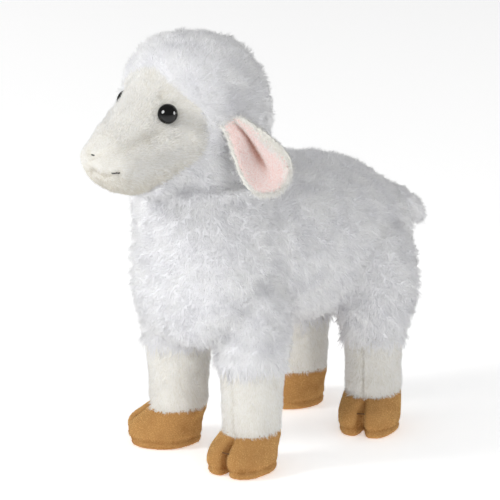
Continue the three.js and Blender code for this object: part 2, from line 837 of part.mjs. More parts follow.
// Tail
const tailSeat = torsoPoint(
  {
    place: Math.sin(degrees(tail.rootAngle)),
    girth: Math.cos(degrees(tail.rootAngle)) ** torso.rumpFullnessShare,
  },
  Math.PI / 2,
  0,
);
const tailAlong = new THREE.Vector3(0, Math.cos(degrees(tail.drop)), -Math.sin(degrees(tail.drop)));
const tailUp = new THREE.Vector3(0, -tailAlong.z, tailAlong.y);
const tailForm = skinned(
  evenly(facets.tail).map((place) => {
    const [along, wide, thick] = rowAt(tail.girthShares, place);
    const middle = tailSeat.clone().addScaledVector(tailAlong, tail.length * along);
    return turns(facets.limb.round).map((round) => {
      const point = middle.clone().addScaledVector(tailUp, tail.halfThickness * thick * Math.sin(round));
      point.x += tail.halfWidth * wide * Math.cos(round);
      return point;
    });
  }),
);
const tailHinge = new THREE.Vector3(1, 0, 0);
addPiece("tail", clearedOf(tailForm, torsoCutter, tailSeat, tailHinge, tail), fabrics.fleece);

// The part's own origin is on the floor, midway between the nose and the tail's tip
const tailTip = tailSeat.y + tail.length * tailAlong.y;
sheep.position.y = -(face.noseY + tailTip) / 2;

export default sheep;
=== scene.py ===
import math

import bmesh
import bpy
import numpy as np
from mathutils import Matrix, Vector, noise
from mathutils.bvhtree import BVHTree
from mathutils.kdtree import KDTree


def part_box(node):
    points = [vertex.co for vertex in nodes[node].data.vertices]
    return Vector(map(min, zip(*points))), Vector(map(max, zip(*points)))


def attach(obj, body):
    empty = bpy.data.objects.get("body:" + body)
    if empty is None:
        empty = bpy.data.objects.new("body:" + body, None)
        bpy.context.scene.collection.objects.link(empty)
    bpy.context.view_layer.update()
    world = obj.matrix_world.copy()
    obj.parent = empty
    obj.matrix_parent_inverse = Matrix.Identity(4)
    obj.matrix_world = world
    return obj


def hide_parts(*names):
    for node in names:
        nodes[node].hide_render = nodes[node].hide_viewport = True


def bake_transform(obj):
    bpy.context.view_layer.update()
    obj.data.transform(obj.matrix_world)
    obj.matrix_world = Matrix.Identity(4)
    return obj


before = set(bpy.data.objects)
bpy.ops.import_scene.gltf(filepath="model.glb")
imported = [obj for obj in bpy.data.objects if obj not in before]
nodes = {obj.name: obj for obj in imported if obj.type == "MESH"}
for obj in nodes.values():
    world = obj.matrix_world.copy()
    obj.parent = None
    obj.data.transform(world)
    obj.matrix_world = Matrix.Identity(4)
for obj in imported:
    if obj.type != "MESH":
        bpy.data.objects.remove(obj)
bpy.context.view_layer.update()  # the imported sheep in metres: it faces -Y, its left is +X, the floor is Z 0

mm = 0.001
sides = {"left": 1, "right": -1}
legs = [f"{end}_{side}" for end in ("front", "rear") for side in sides]

# the photograph's camera: a long lens from the front left, looking down a little
shot = {"azimuth": 45.6, "elevation": 18.2,  # degrees
        "distance": 6.0, "farthest": 100,  # m
        "aim": (-8.480, 0.331, 144.030), "pixelsPerMm": 1.37, "sensor": 36,  # mm
        "picture": 500}  # pixels


def placeCamera():
    azimuth, elevation = math.radians(shot["azimuth"]), math.radians(shot["elevation"])
    back = Vector((math.sin(azimuth) * math.cos(elevation), -math.cos(azimuth) * math.cos(elevation),
                   math.sin(elevation)))
    data = bpy.data.cameras.new("camera")
    camera = bpy.data.objects.new("camera", data)
    bpy.context.collection.objects.link(camera)
    camera.location = Vector(shot["aim"]) * mm + back * shot["distance"]
    camera.rotation_euler = (-back).to_track_quat("-Z", "Y").to_euler()
    data.sensor_width = shot["sensor"]
    data.lens = shot["pixelsPerMm"] / mm * shot["distance"] / shot["picture"] * shot["sensor"]
    data.clip_end = shot["farthest"]
    bpy.context.scene.camera = camera


placeCamera()
print("camera placed")


# small helpers
def linearColour(code):
    parts = [int(code[i:i + 2], 16) / 255 for i in (1, 3, 5)]
    return [p / 12.92 if p <= 0.04045 else ((p + 0.055) / 1.055) ** 2.4 for p in parts] + [1]


def addNode(tree, kind, inputs=None, **settings):
    node = tree.nodes.new(kind)
    for key, value in settings.items():
        setattr(node, key, value)
    for key, value in (inputs or {}).items():
        if isinstance(value, bpy.types.NodeSocket):
            tree.links.new(value, node.inputs[key])
        else:
            node.inputs[key].default_value = value
    return node


# a new material, its node tree and its shader, with the shader's settings
def newMaterial(name, settings):
    material = bpy.data.materials.new(name)
    material.use_nodes = True
    shader = material.node_tree.nodes["Principled BSDF"]
    for key, value in settings.items():
        shader.inputs[key].default_value = value
    return material, material.node_tree, shader


def addPiece(name, mesh):
    piece = bpy.data.objects.new(name, mesh)
    bpy.context.collection.objects.link(piece)
    return piece


def finishModifiers(piece):
    shaped = piece.evaluated_get(bpy.context.evaluated_depsgraph_get())
    mesh = bpy.data.meshes.new_from_object(shaped)
    piece.modifiers.clear()
    piece.data = mesh


def meshFrom(form, name):
    mesh = bpy.data.meshes.new(name)
    form.to_mesh(mesh)
    form.free()
    return mesh


def vectorsOf(layer, key):
    flat = np.empty(len(layer) * 3, np.float32)
    layer.foreach_get(key, flat)
    return flat.reshape(-1, 3).astype(float)


def pointsOf(mesh):
    return vectorsOf(mesh.vertices, "co")


def normalsOf(mesh):
    return vectorsOf(mesh.vertex_normals, "vector")


def movePoints(mesh, points):
    mesh.vertices.foreach_set("co", points.astype(np.float32).ravel())
    mesh.update()


def writeAttribute(mesh, name, values):
    kind = "FLOAT_VECTOR" if values.ndim == 2 else "FLOAT"
    layer = mesh.attributes.get(name) or mesh.attributes.new(name, kind, "POINT")
    layer.data.foreach_set("vector" if values.ndim == 2 else "value", values.astype(np.float32).ravel())


def smoothStep(low, high, values):
    t = np.clip((values - low) / (high - low), 0, 1)
    return t * t * (3 - 2 * t)


# 1 at no distance, fading to nothing over about twice the width, which is in mm
def fadeOut(distance, width):
    return np.exp(-(distance / (width * mm)) ** 2)


# noise at each point, about -1 to 1, in bumps of the given size in mm
def bumps(points, size):
    scale = 1 / (size * mm)
    return np.array([noise.noise(Vector(p) * scale) for p in points])


def treeOf(mesh):
    form = bmesh.new()
    form.from_mesh(mesh)
    tree = BVHTree.FromBMesh(form)
    form.free()
    return tree


upwards = Vector((0.013, 0.007, 1)).normalized()  # a little aslant, so that a ray meets no edge end on
rayStep = 1e-5  # m, past each crossing


# how far each point lies outside a closed skin, in metres, less than 0 inside it
def outsideOf(tree, points):
    found = np.empty(len(points))
    for i, p in enumerate(points):
        point = Vector(p)
        found[i] = tree.find_nearest(point)[3]
        crossings, spot = 0, tree.ray_cast(point, upwards)[0]
        while spot is not None:
            crossings += 1
            spot = tree.ray_cast(spot + upwards * rayStep, upwards)[0]
        if crossings % 2:
            found[i] *= -1
    return found


# the stuffed skins: the sewn covers closed over their filling and rounded by it. In mm: the remesh's voxel,
# how deep and wide the seams draw in, and the size and height of the soft lumps in the stuffing
skins = {
    "trunk": {"voxel": 3.0, "smoothing": 24, "seam": (2.0, 5), "lumps": (18, 1.6),
              "covers": ["torso_cover", "neck_cover", *[f"{leg}_upper_cover" for leg in legs],
                         "body_filling"]},
    "head": {"voxel": 2.0, "smoothing": 13, "seam": (0.8, 2.5), "lumps": (13, 1.2),
             "covers": ["hood_cover", "face_cover", "head_filling"]},
    "tail": {"voxel": 1.5, "smoothing": 10, "seam": (0.6, 2), "lumps": (12, 0.8), "insetShare": 0.4,
             "covers": ["tail"]},
}
for leg in legs:
    skins[leg] = {"voxel": 1.4, "smoothing": 9, "seam": (0.9, 1.5), "lumps": (14, 0.6),
                  "covers": [f"{leg}_leg_sleeve", f"{leg}_hoof_upper", f"{leg}_hoof_sole",
                             f"{leg}_leg_filling"]}
for side in sides:
    skins[f"{side}_ear"] = {"voxel": 1.2, "smoothing": 6, "seam": (0.6, 2), "lumps": None,
                            "covers": [f"{side}_ear_back", f"{side}_ear_lining"]}

# how far the cloth lies under the outside of its pile, in mm
inset = {"fleece": 4.6, "short": 1.7, "velour": 0.7}
fabricOf = {}
for cover in nodes:
    if cover.endswith(("torso_cover", "neck_cover", "upper_cover", "hood_cover", "tail")):
        fabricOf[cover] = "fleece"
    elif cover.endswith(("face_cover", "leg_sleeve", "ear_back")):
        fabricOf[cover] = "short"
    elif cover.endswith(("hoof_upper", "hoof_sole", "ear_lining")):
        fabricOf[cover] = "velour"


# a remesh leaves closed surfaces inside a skin too, and only the largest one, the outermost, stays
def keepOuterShell(mesh):
    form = bmesh.new()
    form.from_mesh(mesh)
    unseen, shells = set(form.verts), []
    while unseen:
        shell, edge = set(), [unseen.pop()]
        while edge:
            point = edge.pop()
            shell.add(point)
            for link in point.link_edges:
                other = link.other_vert(point)
                if other in unseen:
                    unseen.remove(other)
                    edge.append(other)
        shells.append(shell)
    shells.sort(key=len)
    bmesh.ops.delete(form, geom=[point for shell in shells[:-1] for point in shell], context="VERTS")
    form.to_mesh(mesh)
    form.free()


# each point's value drawn towards its neighbours' over a few rounds
def evenOut(mesh, values, rounds):
    ends = np.empty(len(mesh.edges) * 2, np.int32)
    mesh.edges.foreach_get("vertices", ends)
    ends = ends.reshape(-1, 2)
    count = np.bincount(ends.ravel(), minlength=len(values)).clip(1)
    for _ in range(rounds):
        total = np.bincount(ends[:, 0], values[ends[:, 1]], len(values))
        total += np.bincount(ends[:, 1], values[ends[:, 0]], len(values))
        values = (values + total / count) / 2
    return values


# how far each point lies from a path of points given in mm, in metres
def awayFromPath(points, path):
    spots = np.array(path, float) * mm
    away = np.linalg.norm(points - spots[0], axis=1)
    for a, b in zip(spots[:-1], spots[1:]):
        run = b - a
        t = np.clip((points - a) @ run / (run @ run), 0, 1)
        away = np.minimum(away, np.linalg.norm(points - a - t[:, None] * run, axis=1))
    return away


# how far each point lies from the nearest seam between two covers, in metres, 1 where there is none
def awayFromSeam(mesh, label, points):
    ends = np.array([edge.vertices[:] for edge in mesh.edges])
    seam = np.unique(ends[label[ends[:, 0]] != label[ends[:, 1]]])
    if not len(seam):
        return np.full(len(points), 1.0)
    tree = KDTree(len(seam))
    for i, j in enumerate(seam):
        tree.insert(Vector(points[j]), i)
    tree.balance()
    return np.array([tree.find(Vector(p))[2] for p in points])


# the stitches and folds that draw a skin in, in mm, less than 0 where it swells, on the sides given by
# their signs. They are on the head unless they name another skin, and shade says how dark each one is
# painted in the face's pile, as painted shade
creases = [
    # from the nose down to the mouth, the mouth itself and the two nostrils
    {"path": [(0, -168, 254.5), (0, -167, 248), (0, -164, 242)], "width": 1.8, "depth": 2.4, "sides": (1,)},
    {"path": [(0, -164, 241.5), (7.4, -160.7, 239.8), (14, -159.6, 241.7), (19.5, -157.4, 244.6)],
     "width": 2.0, "depth": 2.0, "sides": (1, -1)},
    {"path": [(2.5, -167, 255), (6.5, -164.5, 257)], "width": 2.0, "depth": 1.6, "sides": (1, -1)},
    # the ridge from each nostril towards the eye, and the valley below it
    {"path": [(7.5, -160.7, 258.2), (12.5, -151.6, 263.3), (16.2, -138.4, 268.7), (20.2, -127.5, 272.4)],
     "width": 3.5, "depth": -1.8, "sides": (1, -1)},
    {"path": [(9.5, -159, 254.5), (14.8, -150, 258.8), (19.2, -137.5, 263.8), (23.2, -127.2, 267.8)],
     "width": 4.5, "depth": 1.6, "sides": (1, -1), "shade": 0.5},
    # the brow's two creases, which only the left side shows
    {"path": [(10.4, -107, 304), (14.9, -108.4, 299.2), (14.8, -111.3, 294.6), (16.5, -114, 290.3)],
     "width": 2.0, "depth": 3.0, "sides": (1,)},
    {"path": [(21.2, -106.6, 297.2), (24.8, -105.1, 293.2), (27.7, -103, 288.9)],
     "width": 1.8, "depth": 2.4, "sides": (1,)},
    # the hollow of each eye, the cheeks of the muzzle and the chin
    {"path": [(23.8, -113.7, 280.5)], "width": 9.0, "depth": 1.9, "sides": (1, -1), "shade": 0.3},
    {"path": [(12, -152, 249)], "width": 9.0, "depth": -1.4, "sides": (1, -1)},
    {"path": [(8, -158, 234)], "width": 8.0, "depth": -1.0, "sides": (1, -1)},
    # the dent over the rump, the fuller back and the fuller inner sides of the hind legs
    {"skin": "trunk", "path": [(0, 116, 186)], "width": 18.0, "depth": 3.0, "sides": (1,)},
    {"skin": "trunk", "path": [(0, 55, 207), (0, 82, 203)], "width": 20.0, "depth": -2.0, "sides": (1,)},
    {"skin": "trunk", "path": [(33, 72, 122), (34, 74, 112)], "width": 15.0, "depth": -5.0, "sides": (1, -1)},
]
faceLumps = 0.3  # the height of the face's soft lumps, as a share of the hood's


def drawIn(name, points, label):
    depth, creased = np.zeros(len(points)), np.zeros(len(points))
    for crease in creases:
        if crease.get("skin", "head") != name:
            continue
        for side in crease["sides"]:
            path = [(x * side, y, z) for x, y, z in crease["path"]]
            share = fadeOut(awayFromPath(points, path), crease["width"])
            depth += crease["depth"] * share
            # a crease that draws in is painted darker in the face's pile, painted shade, by its share and its
            # shade
            if crease["depth"] > 0:
                creased += share * crease.get("shade", 1)
    skins[name]["creased"] = creased
    if skins[name]["lumps"]:
        size, height = skins[name]["lumps"]
        depth -= height * bumps(points, size) * np.where(label == "face_cover", faceLumps, 1)
    return depth * mm


# a hoof's cleft runs down its front from the cleft stitch between two stuffed toes, its sole is sewn on all
# round, and the sleeve above it is sewn shut in line with the cleft, all in mm but for counts and shares
# darkShare: how much wider than the cleft its painted shade is
cleft = {"depth": 4.8, "width": 2.2, "from": 6.0, "reach": 8, "top": 33.0, "fade": 9.0, "darkShare": 1.3}
toe = {"swell": 1.9, "aside": 9.0, "width": 7.0, "height": 14.0, "reach": 9.0, "from": 4, "full": 14}
soleSeam = {"height": 6.0, "depth": 0.5, "width": 1.3, "puckers": 40, "puckerDepth": 0.25}
sleeveSeam = {"aside": -1.5, "depth": 1.0, "width": 1.2, "from": 27.0, "fade": 4}


def shapeHoof(leg, points):
    low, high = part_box(f"{leg}_cleft_stitch")
    stitch = (low + high) / 2
    low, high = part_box(f"{leg}_leg_sleeve")
    middle = (low + high) / 2
    ahead = Vector((stitch.x - middle.x, stitch.y - middle.y, 0)).normalized()
    aside = Vector((-ahead.y, ahead.x, 0))
    out = points - np.array(middle)
    front, lateral = out @ np.array(ahead), out @ np.array(aside)
    z = points[:, 2]
    share = smoothStep(cleft["from"] * mm, (cleft["from"] + cleft["reach"]) * mm, front)
    share *= 1 - smoothStep((cleft["top"] - cleft["fade"]) * mm, cleft["top"] * mm, z)
    depth = cleft["depth"] * fadeOut(lateral, cleft["width"]) * share
    bulge = fadeOut(np.abs(lateral) - toe["aside"] * mm, toe["width"])
    bulge *= fadeOut(z - toe["height"] * mm, toe["reach"])
    depth -= toe["swell"] * bulge * smoothStep(toe["from"] * mm, toe["full"] * mm, front)
    shut = fadeOut(lateral - sleeveSeam["aside"] * mm, sleeveSeam["width"])
    fullShut = (sleeveSeam["from"] + sleeveSeam["fade"]) * mm
    shut *= (front > 0) * smoothStep(sleeveSeam["from"] * mm, fullShut, z)
    depth += sleeveSeam["depth"] * shut
    seam = fadeOut(z - soleSeam["height"] * mm, soleSeam["width"])
    puckers = np.cos(np.arctan2(lateral, front) * soleSeam["puckers"])
    depth += seam * (soleSeam["depth"] + soleSeam["puckerDepth"] * puckers)
    # the cleft and the two seams are painted darker in the velour and the sleeve's pile, as painted shade
    skins[leg]["cleftShare"] = fadeOut(lateral, cleft["width"] * cleft["darkShare"]) * share
    skins[leg]["seamShare"], skins[leg]["shut"] = seam, shut
    return depth * mm


# the skin of a stuffed part before its seams are drawn in, in mm and shares. Where a skin faces down, its
# cloth lies less far in, because the toy stands on it
stuffing = {"merge": 0.01, "rounding": 0.5, "evenRounds": 3, "underneath": (0.5, 0.9), "underneathShare": 0.8}


def closeSkin(name):
    form = bmesh.new()
    for cover in skins[name]["covers"]:
        form.from_mesh(nodes[cover].data)
    bmesh.ops.remove_doubles(form, verts=form.verts, dist=stuffing["merge"] * mm)
    skin = addPiece(f"{name}_skin", meshFrom(form, name))
    sewn = skin.modifiers.new("sewn", "REMESH")
    sewn.mode, sewn.voxel_size, sewn.use_smooth_shade = "VOXEL", skins[name]["voxel"] * mm, True
    rounded = skin.modifiers.new("rounded", "SMOOTH")
    rounded.factor, rounded.iterations = stuffing["rounding"], skins[name]["smoothing"]
    finishModifiers(skin)
    keepOuterShell(skin.data)
    return skin


# which cover each point of a skin belongs to, and how far in its cloth lies
def findCovers(name, mesh, points, normals):
    covers = [cover for cover in skins[name]["covers"] if cover in fabricOf]
    trees = [treeOf(nodes[cover].data) for cover in covers]
    gaps = np.array([[tree.find_nearest(Vector(p))[3] for tree in trees] for p in points])
    nearest = gaps.argmin(axis=1)
    depth = np.array([inset[fabricOf[cover]] for cover in covers])[nearest] * mm
    underneath = smoothStep(*stuffing["underneath"], -normals[:, 2])
    depth = evenOut(mesh, depth, stuffing["evenRounds"]) * (1 - stuffing["underneathShare"] * underneath)
    return np.array(covers)[nearest], depth * skins[name].get("insetShare", 1)


# the face cover's outline in front of its back edge, half its width at each height, in mm
faceOutline = {
    "height": (228, 232.8, 236.2, 240.7, 246.6, 254.8, 263.8, 272.4, 286, 291.8, 298.3, 303, 306, 309),
    "half": (0, 26.6, 30, 34.3, 39.4, 42.2, 43.5, 42.2, 39.1, 33, 25.6, 17, 13.8, 4),
    "back": -80}


def outlineFace(points, label):
    half = np.interp(points[:, 2] / mm, faceOutline["height"], faceOutline["half"], right=0)
    label[(points[:, 1] < faceOutline["back"] * mm) & (np.abs(points[:, 0]) < half * mm)] = "face_cover"


# ends that run on into the skin they are sewn to, in mm: the neck's into the head, a sleeve's into the leg
# above it and the tail's root into the trunk. The tail is drawn in by its seams, as shares of the cut
# piece, and hangs by its own weight
neckEnd = {"height": (204, 210), "facing": (0.2, 0.7), "fades": (-40, -20), "rise": 8}
sleeveEnd = {"from": 5, "full": 1, "rise": 8}
tailEnd = {"tucked": 9, "widthShare": 0.9, "lengthShare": 0.88, "drop": 3.5}
tailRoot, tailTip = Vector((0, 0.136216, 0.164743)), Vector((0, 0.1665, 0.1465))


def raiseNeck(points, normals):
    (low, high), (front, back) = neckEnd["height"], neckEnd["fades"]
    raised = smoothStep(low * mm, high * mm, points[:, 2]) * smoothStep(*neckEnd["facing"], normals[:, 2])
    return neckEnd["rise"] * mm * raised * (1 - smoothStep(front * mm, back * mm, points[:, 1]))


def raiseSleeve(points):
    top = points[:, 2].max()
    end = smoothStep(top - sleeveEnd["from"] * mm, top - sleeveEnd["full"] * mm, points[:, 2])
    points[:, 2] += sleeveEnd["rise"] * mm * end
    return points


def hangTail(points):
    out = np.array(tailTip - tailRoot) / (tailTip - tailRoot).length
    reach = (points - np.array(tailRoot)) @ out
    points = points * (tailEnd["widthShare"], 1, 1) - (0, 0, tailEnd["drop"] * mm)
    tucked = tailEnd["tucked"] * mm * (1 - smoothStep(0, tailEnd["tucked"] * mm, reach))
    points -= out * (tucked + (1 - tailEnd["lengthShare"]) * reach.clip(0))[:, None]
    return points


def stuffSkin(name):
    made = skins[name]
    made["skin"] = skin = closeSkin(name)
    points, normals = pointsOf(skin.data), normalsOf(skin.data)
    made["label"], depth = findCovers(name, skin.data, points, normals)
    if name == "head":
        outlineFace(points, made["label"])
    made["toSeam"] = awayFromSeam(skin.data, made["label"], points)
    seamDepth, seamWidth = made["seam"]
    depth += seamDepth * mm * fadeOut(made["toSeam"], seamWidth)
    if name == "trunk":
        depth -= raiseNeck(points, normals)
    depth += drawIn(name, points, made["label"])
    if name in legs:
        depth += shapeHoof(name, points)
    points = points - normals * depth[:, None]
    if name == "tail":
        points = hangTail(points)
    if name in legs:
        points = raiseSleeve(points)
    movePoints(skin.data, points)
    if name.endswith("ear"):
        curlEar(name)
    made["tree"] = treeOf(skin.data)
    made["points"], made["normals"] = pointsOf(skin.data), normalsOf(skin.data)
    print(name, "skin", len(points), "points")


# an ear is folded lengthways at its root: both rims curl over the hollow of its lining, the rear one
# further, so that its back shows beside the lining. Lengths are in mm, turnedOver is a share of the half
ear = {"frontCurl": 3.5, "rearCurl": 7.5, "curlAtTip": 1.5, "widen": 2.5, "turnedOver": 0.42,
       "hollow": 5.0, "hollowAtRoot": 1.8, "hollowWidth": 5.0, "hollowWall": 0.4, "hollowAside": 1.2,
       "tuckedIn": 8.0, "frontTuckedIn": 4.0, "bend": 26.0,
       "shift": {"left": (1.5, 1.5, 3.7), "right": (3.0, 12.0, -3.0)}}
# where along the ear, from 0 at its root to 1 at its tip, each of these starts, is full, fades and ends.
# Those that only grow or only fade have two places, and the front rim's tuck reaches further by frontTuck
earSpans = {"turned": (-0.35, 0.0, 0.25, 0.85), "wide": (0, 0.6, 0.6, 1), "hollow": (-0.1, 0.15, 0.45, 0.85),
            "curlFades": (0.1, 0.95), "hollowWidens": (0, 0.55), "tuckFades": (-0.1, 0.25), "frontTuck": 0.2}
rimMost = 1.2  # the curl grows out to this share of the half width
rearSide = (-0.3, 0.4)  # over these shares of the half width the front side becomes the rear one
pivots = {side: Vector((sign * 0.054487, -0.077156, 0.270)) for side, sign in sides.items()}


def alongEar(run, span, most=1):
    start, full, fade, end = earSpans[span]
    return most * smoothStep(start, full, run) * (1 - smoothStep(fade, end, run))


def curlEar(name):
    made = skins[name]
    points, normals = pointsOf(made["skin"].data), normalsOf(made["skin"].data)
    side = name.split("_")[0]
    pivot = np.array(pivots[side])
    tip = points[((points - pivot) ** 2).sum(axis=1).argmax()]
    along = (tip - pivot) / np.linalg.norm(tip - pivot)
    lining = np.char.endswith(made["label"], "lining")
    facing = normals[lining].mean(axis=0)
    facing -= along * (facing @ along)
    facing /= np.linalg.norm(facing)
    aside = np.cross(along, facing)
    aside *= np.sign(aside[1])
    run = (points - pivot) @ along / np.linalg.norm(tip - pivot)
    across = points @ aside - (points[lining] @ aside).mean()
    share = across / np.abs(across[lining]).max()
    made["label"][lining & (share > 1 - ear["turnedOver"] * alongEar(run, "turned"))] = f"{name}_back"
    wider = alongEar(run, "wide", ear["widen"] * smoothStep(0, 1, share))
    most = np.where(share > 0, ear["rearCurl"], ear["frontCurl"]) - ear["curlAtTip"]
    curl = ear["curlAtTip"] + most * (1 - smoothStep(*earSpans["curlFades"], run))
    lift = curl * np.clip(np.abs(share), 0, rimMost) ** 2
    growth = smoothStep(*earSpans["hollowWidens"], run)
    hollowWidth = ear["hollowAtRoot"] + (ear["hollowWidth"] - ear["hollowAtRoot"]) * growth
    beside = across / mm - ear["hollowAside"]
    hollow = np.exp(-(beside / np.where(beside > 0, hollowWidth * ear["hollowWall"], hollowWidth)) ** 2)
    hollow *= alongEar(run, "hollow")
    lift -= ear["hollow"] * hollow
    points = points + (facing * lift[:, None] + aside * wider[:, None]) * mm
    points += np.array(ear["shift"][side]) * mm
    front = np.clip(-share, 0, 1)
    start, end = earSpans["tuckFades"]
    tucked = ear["tuckedIn"] + ear["frontTuckedIn"] * front
    tucked *= 1 - smoothStep(start, end + earSpans["frontTuck"] * front, run)
    points[:, 0] -= np.sign(pivot[0]) * tucked * mm
    movePoints(made["skin"].data, points)
    made["hollow"], made["rear"] = hollow, smoothStep(*rearSide, share)
    made["toSeam"] = awayFromSeam(made["skin"].data, made["label"], points)
    made["pivot"], made["tip"] = Vector(pivot), Vector(tip)


for name in skins:
    stuffSkin(name)


# a piece rides one body; one given two bodies and a stretch between them only keeps its place
def carry(piece, body):
    if isinstance(body, str):
        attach(piece, body)
    else:
        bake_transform(piece)


# the cloth of each cover, cut from its skin, as thick as a plush's knitted backing, in mm
clothThickness = 0.9


def cutCloth(name, skinName, covers, kind, body):
    made = skins[skinName]
    wanted = np.isin(made["label"], covers)
    mesh = made["skin"].data.copy()
    form = bmesh.new()
    form.from_mesh(mesh)
    form.verts.ensure_lookup_table()
    unwanted = [face for face in form.faces if not wanted[face.verts[0].index]]
    bmesh.ops.delete(form, geom=unwanted, context="FACES")
    form.to_mesh(mesh)
    form.free()
    cloth = addPiece(name, mesh)
    wall = cloth.modifiers.new("wall", "SOLIDIFY")
    wall.thickness, wall.offset = clothThickness * mm, -1
    finishModifiers(cloth)
    cloth.data.materials.clear()
    cloth.data.materials.append(finishes[kind]["backing"])
    for face in cloth.data.polygons:
        face.use_smooth = True
    carry(cloth, body)
    return cloth


# pile: thousands of tapered fibres, set on the cloth and bent. Lengths and widths are in mm. A fibre is
# drawn several times as thick as a real one, which would be too fine to show, and there are that many fewer.
# It is a three-sided cone, fuller at its middle, and bends more towards its tip
fibreForm = {"sides": 3, "fuller": 1.3, "bend": 1.6}
# the map for the finish: a fibre's root to tip goes across it, and its tone and its sides go up it
fibreMap = {"left": 0.05, "width": 0.9, "bottom": 0.03, "height": 0.94, "sideHeight": 0.02, "sideTurn": 0.4}


def pileTree(name, pile, material, seed):
    tree = bpy.data.node_groups.new(name, "GeometryNodeTree")
    for way in ("INPUT", "OUTPUT"):
        tree.interface.new_socket("Geometry", in_out=way, socket_type="NodeSocketGeometry")
    start, end = addNode(tree, "NodeGroupInput"), addNode(tree, "NodeGroupOutput")

    # the nodes that come back most
    def named(label, kind="FLOAT_VECTOR"):
        return addNode(tree, "GeometryNodeInputNamedAttribute", {"Name": label}, data_type=kind).outputs[0]

    def number(operation, *values):
        return addNode(tree, "ShaderNodeMath", dict(enumerate(values)), operation=operation).outputs[0]

    def vector(operation, *values, output=0):
        return addNode(tree, "ShaderNodeVectorMath", dict(enumerate(values)),
                       operation=operation).outputs[output]

    def combined(x, y, z):
        return addNode(tree, "ShaderNodeCombineXYZ", {0: x, 1: y, 2: z}).outputs[0]

    def chance(low, high, shift):
        return addNode(tree, "FunctionNodeRandomValue", {2: low, 3: high, "Seed": seed + shift}).outputs[1]

    def cloudy(size, output):
        return addNode(tree, "ShaderNodeTexNoise", {"Vector": named("root"), "Scale": 1 / (size * mm),
                                                    "Detail": 1.0}).outputs[output]

    def moved(geometry, offset):
        return addNode(tree, "GeometryNodeSetPosition", {"Geometry": geometry, "Offset": offset}).outputs[0]

    def store(geometry, label, value, kind="FLOAT", domain="POINT"):
        return addNode(tree, "GeometryNodeStoreNamedAttribute",
                       {"Geometry": geometry, "Name": label, "Value": value},
                       data_type=kind, domain=domain).outputs[0]

    # one fibre: a three-sided cone, a little fuller at its middle
    fibre = addNode(tree, "GeometryNodeMeshCone",
                    {"Vertices": fibreForm["sides"], "Side Segments": pile["segments"], "Fill Segments": 1,
                     "Radius Top": 0.0, "Radius Bottom": 0.5, "Depth": 1.0}, fill_type="NGON").outputs[0]
    place = addNode(tree, "GeometryNodeInputPosition").outputs[0]
    apart = addNode(tree, "ShaderNodeSeparateXYZ", {0: place})
    fibre = store(fibre, "height", apart.outputs[2])
    turn = number("MULTIPLY", apart.outputs[1], fibreMap["sideTurn"])
    fibre = store(fibre, "side", number("ADD", apart.outputs[0], turn))
    swell = number("MULTIPLY", number("PINGPONG", named("height", "FLOAT"), 0.5), fibreForm["fuller"])
    fibre = moved(fibre, vector("MULTIPLY", place, combined(swell, swell, 0.0)))
    # where the fibres stand and which way they point
    points = addNode(tree, "GeometryNodeDistributePointsOnFaces",
                     {"Mesh": start.outputs[0], "Density": named("density", "FLOAT"),
                      "Seed": seed}).outputs[0]
    points = store(points, "root", place, "FLOAT_VECTOR")
    points = store(points, "tint", chance(0.0, 1.0, 1))
    lumps = addNode(tree, "ShaderNodeMapRange",
                    {"Value": cloudy(pile["lump"], 0), "From Min": 0.3, "From Max": 0.7,
                     "To Min": 1 - pile["lumpDepth"], "To Max": 1.0}).outputs[0]
    reach = number("MULTIPLY", number("MULTIPLY", named("pile", "FLOAT"), pile["length"] * mm),
                   number("MULTIPLY", chance(1 - pile["uneven"], 1.0, 2), lumps))
    points = store(points, "reach", reach)
    stray = addNode(tree, "FunctionNodeRandomValue",
                    {0: (-pile["stray"],) * 3, 1: (pile["stray"],) * 3, "Seed": seed + 3},
                    data_type="FLOAT_VECTOR").outputs[0]
    aim = vector("ADD", vector("ADD", named("skinNormal"), named("comb")), stray)
    turned = addNode(tree, "FunctionNodeAlignRotationToVector", {"Vector": aim}, axis="Z").outputs[0]
    spun = addNode(tree, "FunctionNodeAxisAngleToRotation",
                   {0: (0, 0, 1), 1: chance(0.0, 2 * math.pi, 4)}).outputs[0]
    turned = addNode(tree, "FunctionNodeRotateRotation", {0: turned, 1: spun},
                     rotation_space="LOCAL").outputs[0]
    width, length = pile["width"] * mm, named("reach", "FLOAT")
    fibres = addNode(tree, "GeometryNodeInstanceOnPoints",
                     {"Points": points, "Instance": fibre, "Rotation": turned,
                      "Scale": combined(width, width, length)}).outputs[0]
    fibres = addNode(tree, "GeometryNodeRealizeInstances", {"Geometry": fibres}).outputs[0]
    # clumps: each fibre leans to the middle of its cell and round it, with a wave and the pull of its weight
    root, normal = named("root"), named("skinNormal")
    middle = addNode(tree, "ShaderNodeTexVoronoi",
                     {"Vector": root, "Scale": 1 / (pile["clump"] * mm)}).outputs[2]
    pull = vector("SUBTRACT", middle, root)
    pull = vector("SUBTRACT", pull, vector("MULTIPLY", normal, vector("DOT_PRODUCT", normal, pull, output=1)))
    swirl = vector("CROSS_PRODUCT", normal, pull)
    wave = vector("SUBTRACT", cloudy(pile["wave"], 1), (0.5, 0.5, 0.5))
    full = pile["length"] * mm
    bend = vector("MULTIPLY", pull, (pile["gather"] / full,) * 3)
    bend = vector("ADD", bend, vector("MULTIPLY", swirl, (pile["swirl"] / full,) * 3))
    bend = vector("ADD", bend, vector("MULTIPLY", wave, (pile["waviness"],) * 3))
    bend = vector("MULTIPLY", vector("ADD", bend, (0, 0, -pile["droop"])), length)
    rise = number("POWER", named("height", "FLOAT"), fibreForm["bend"])
    fibres = moved(fibres, vector("MULTIPLY", bend, rise))
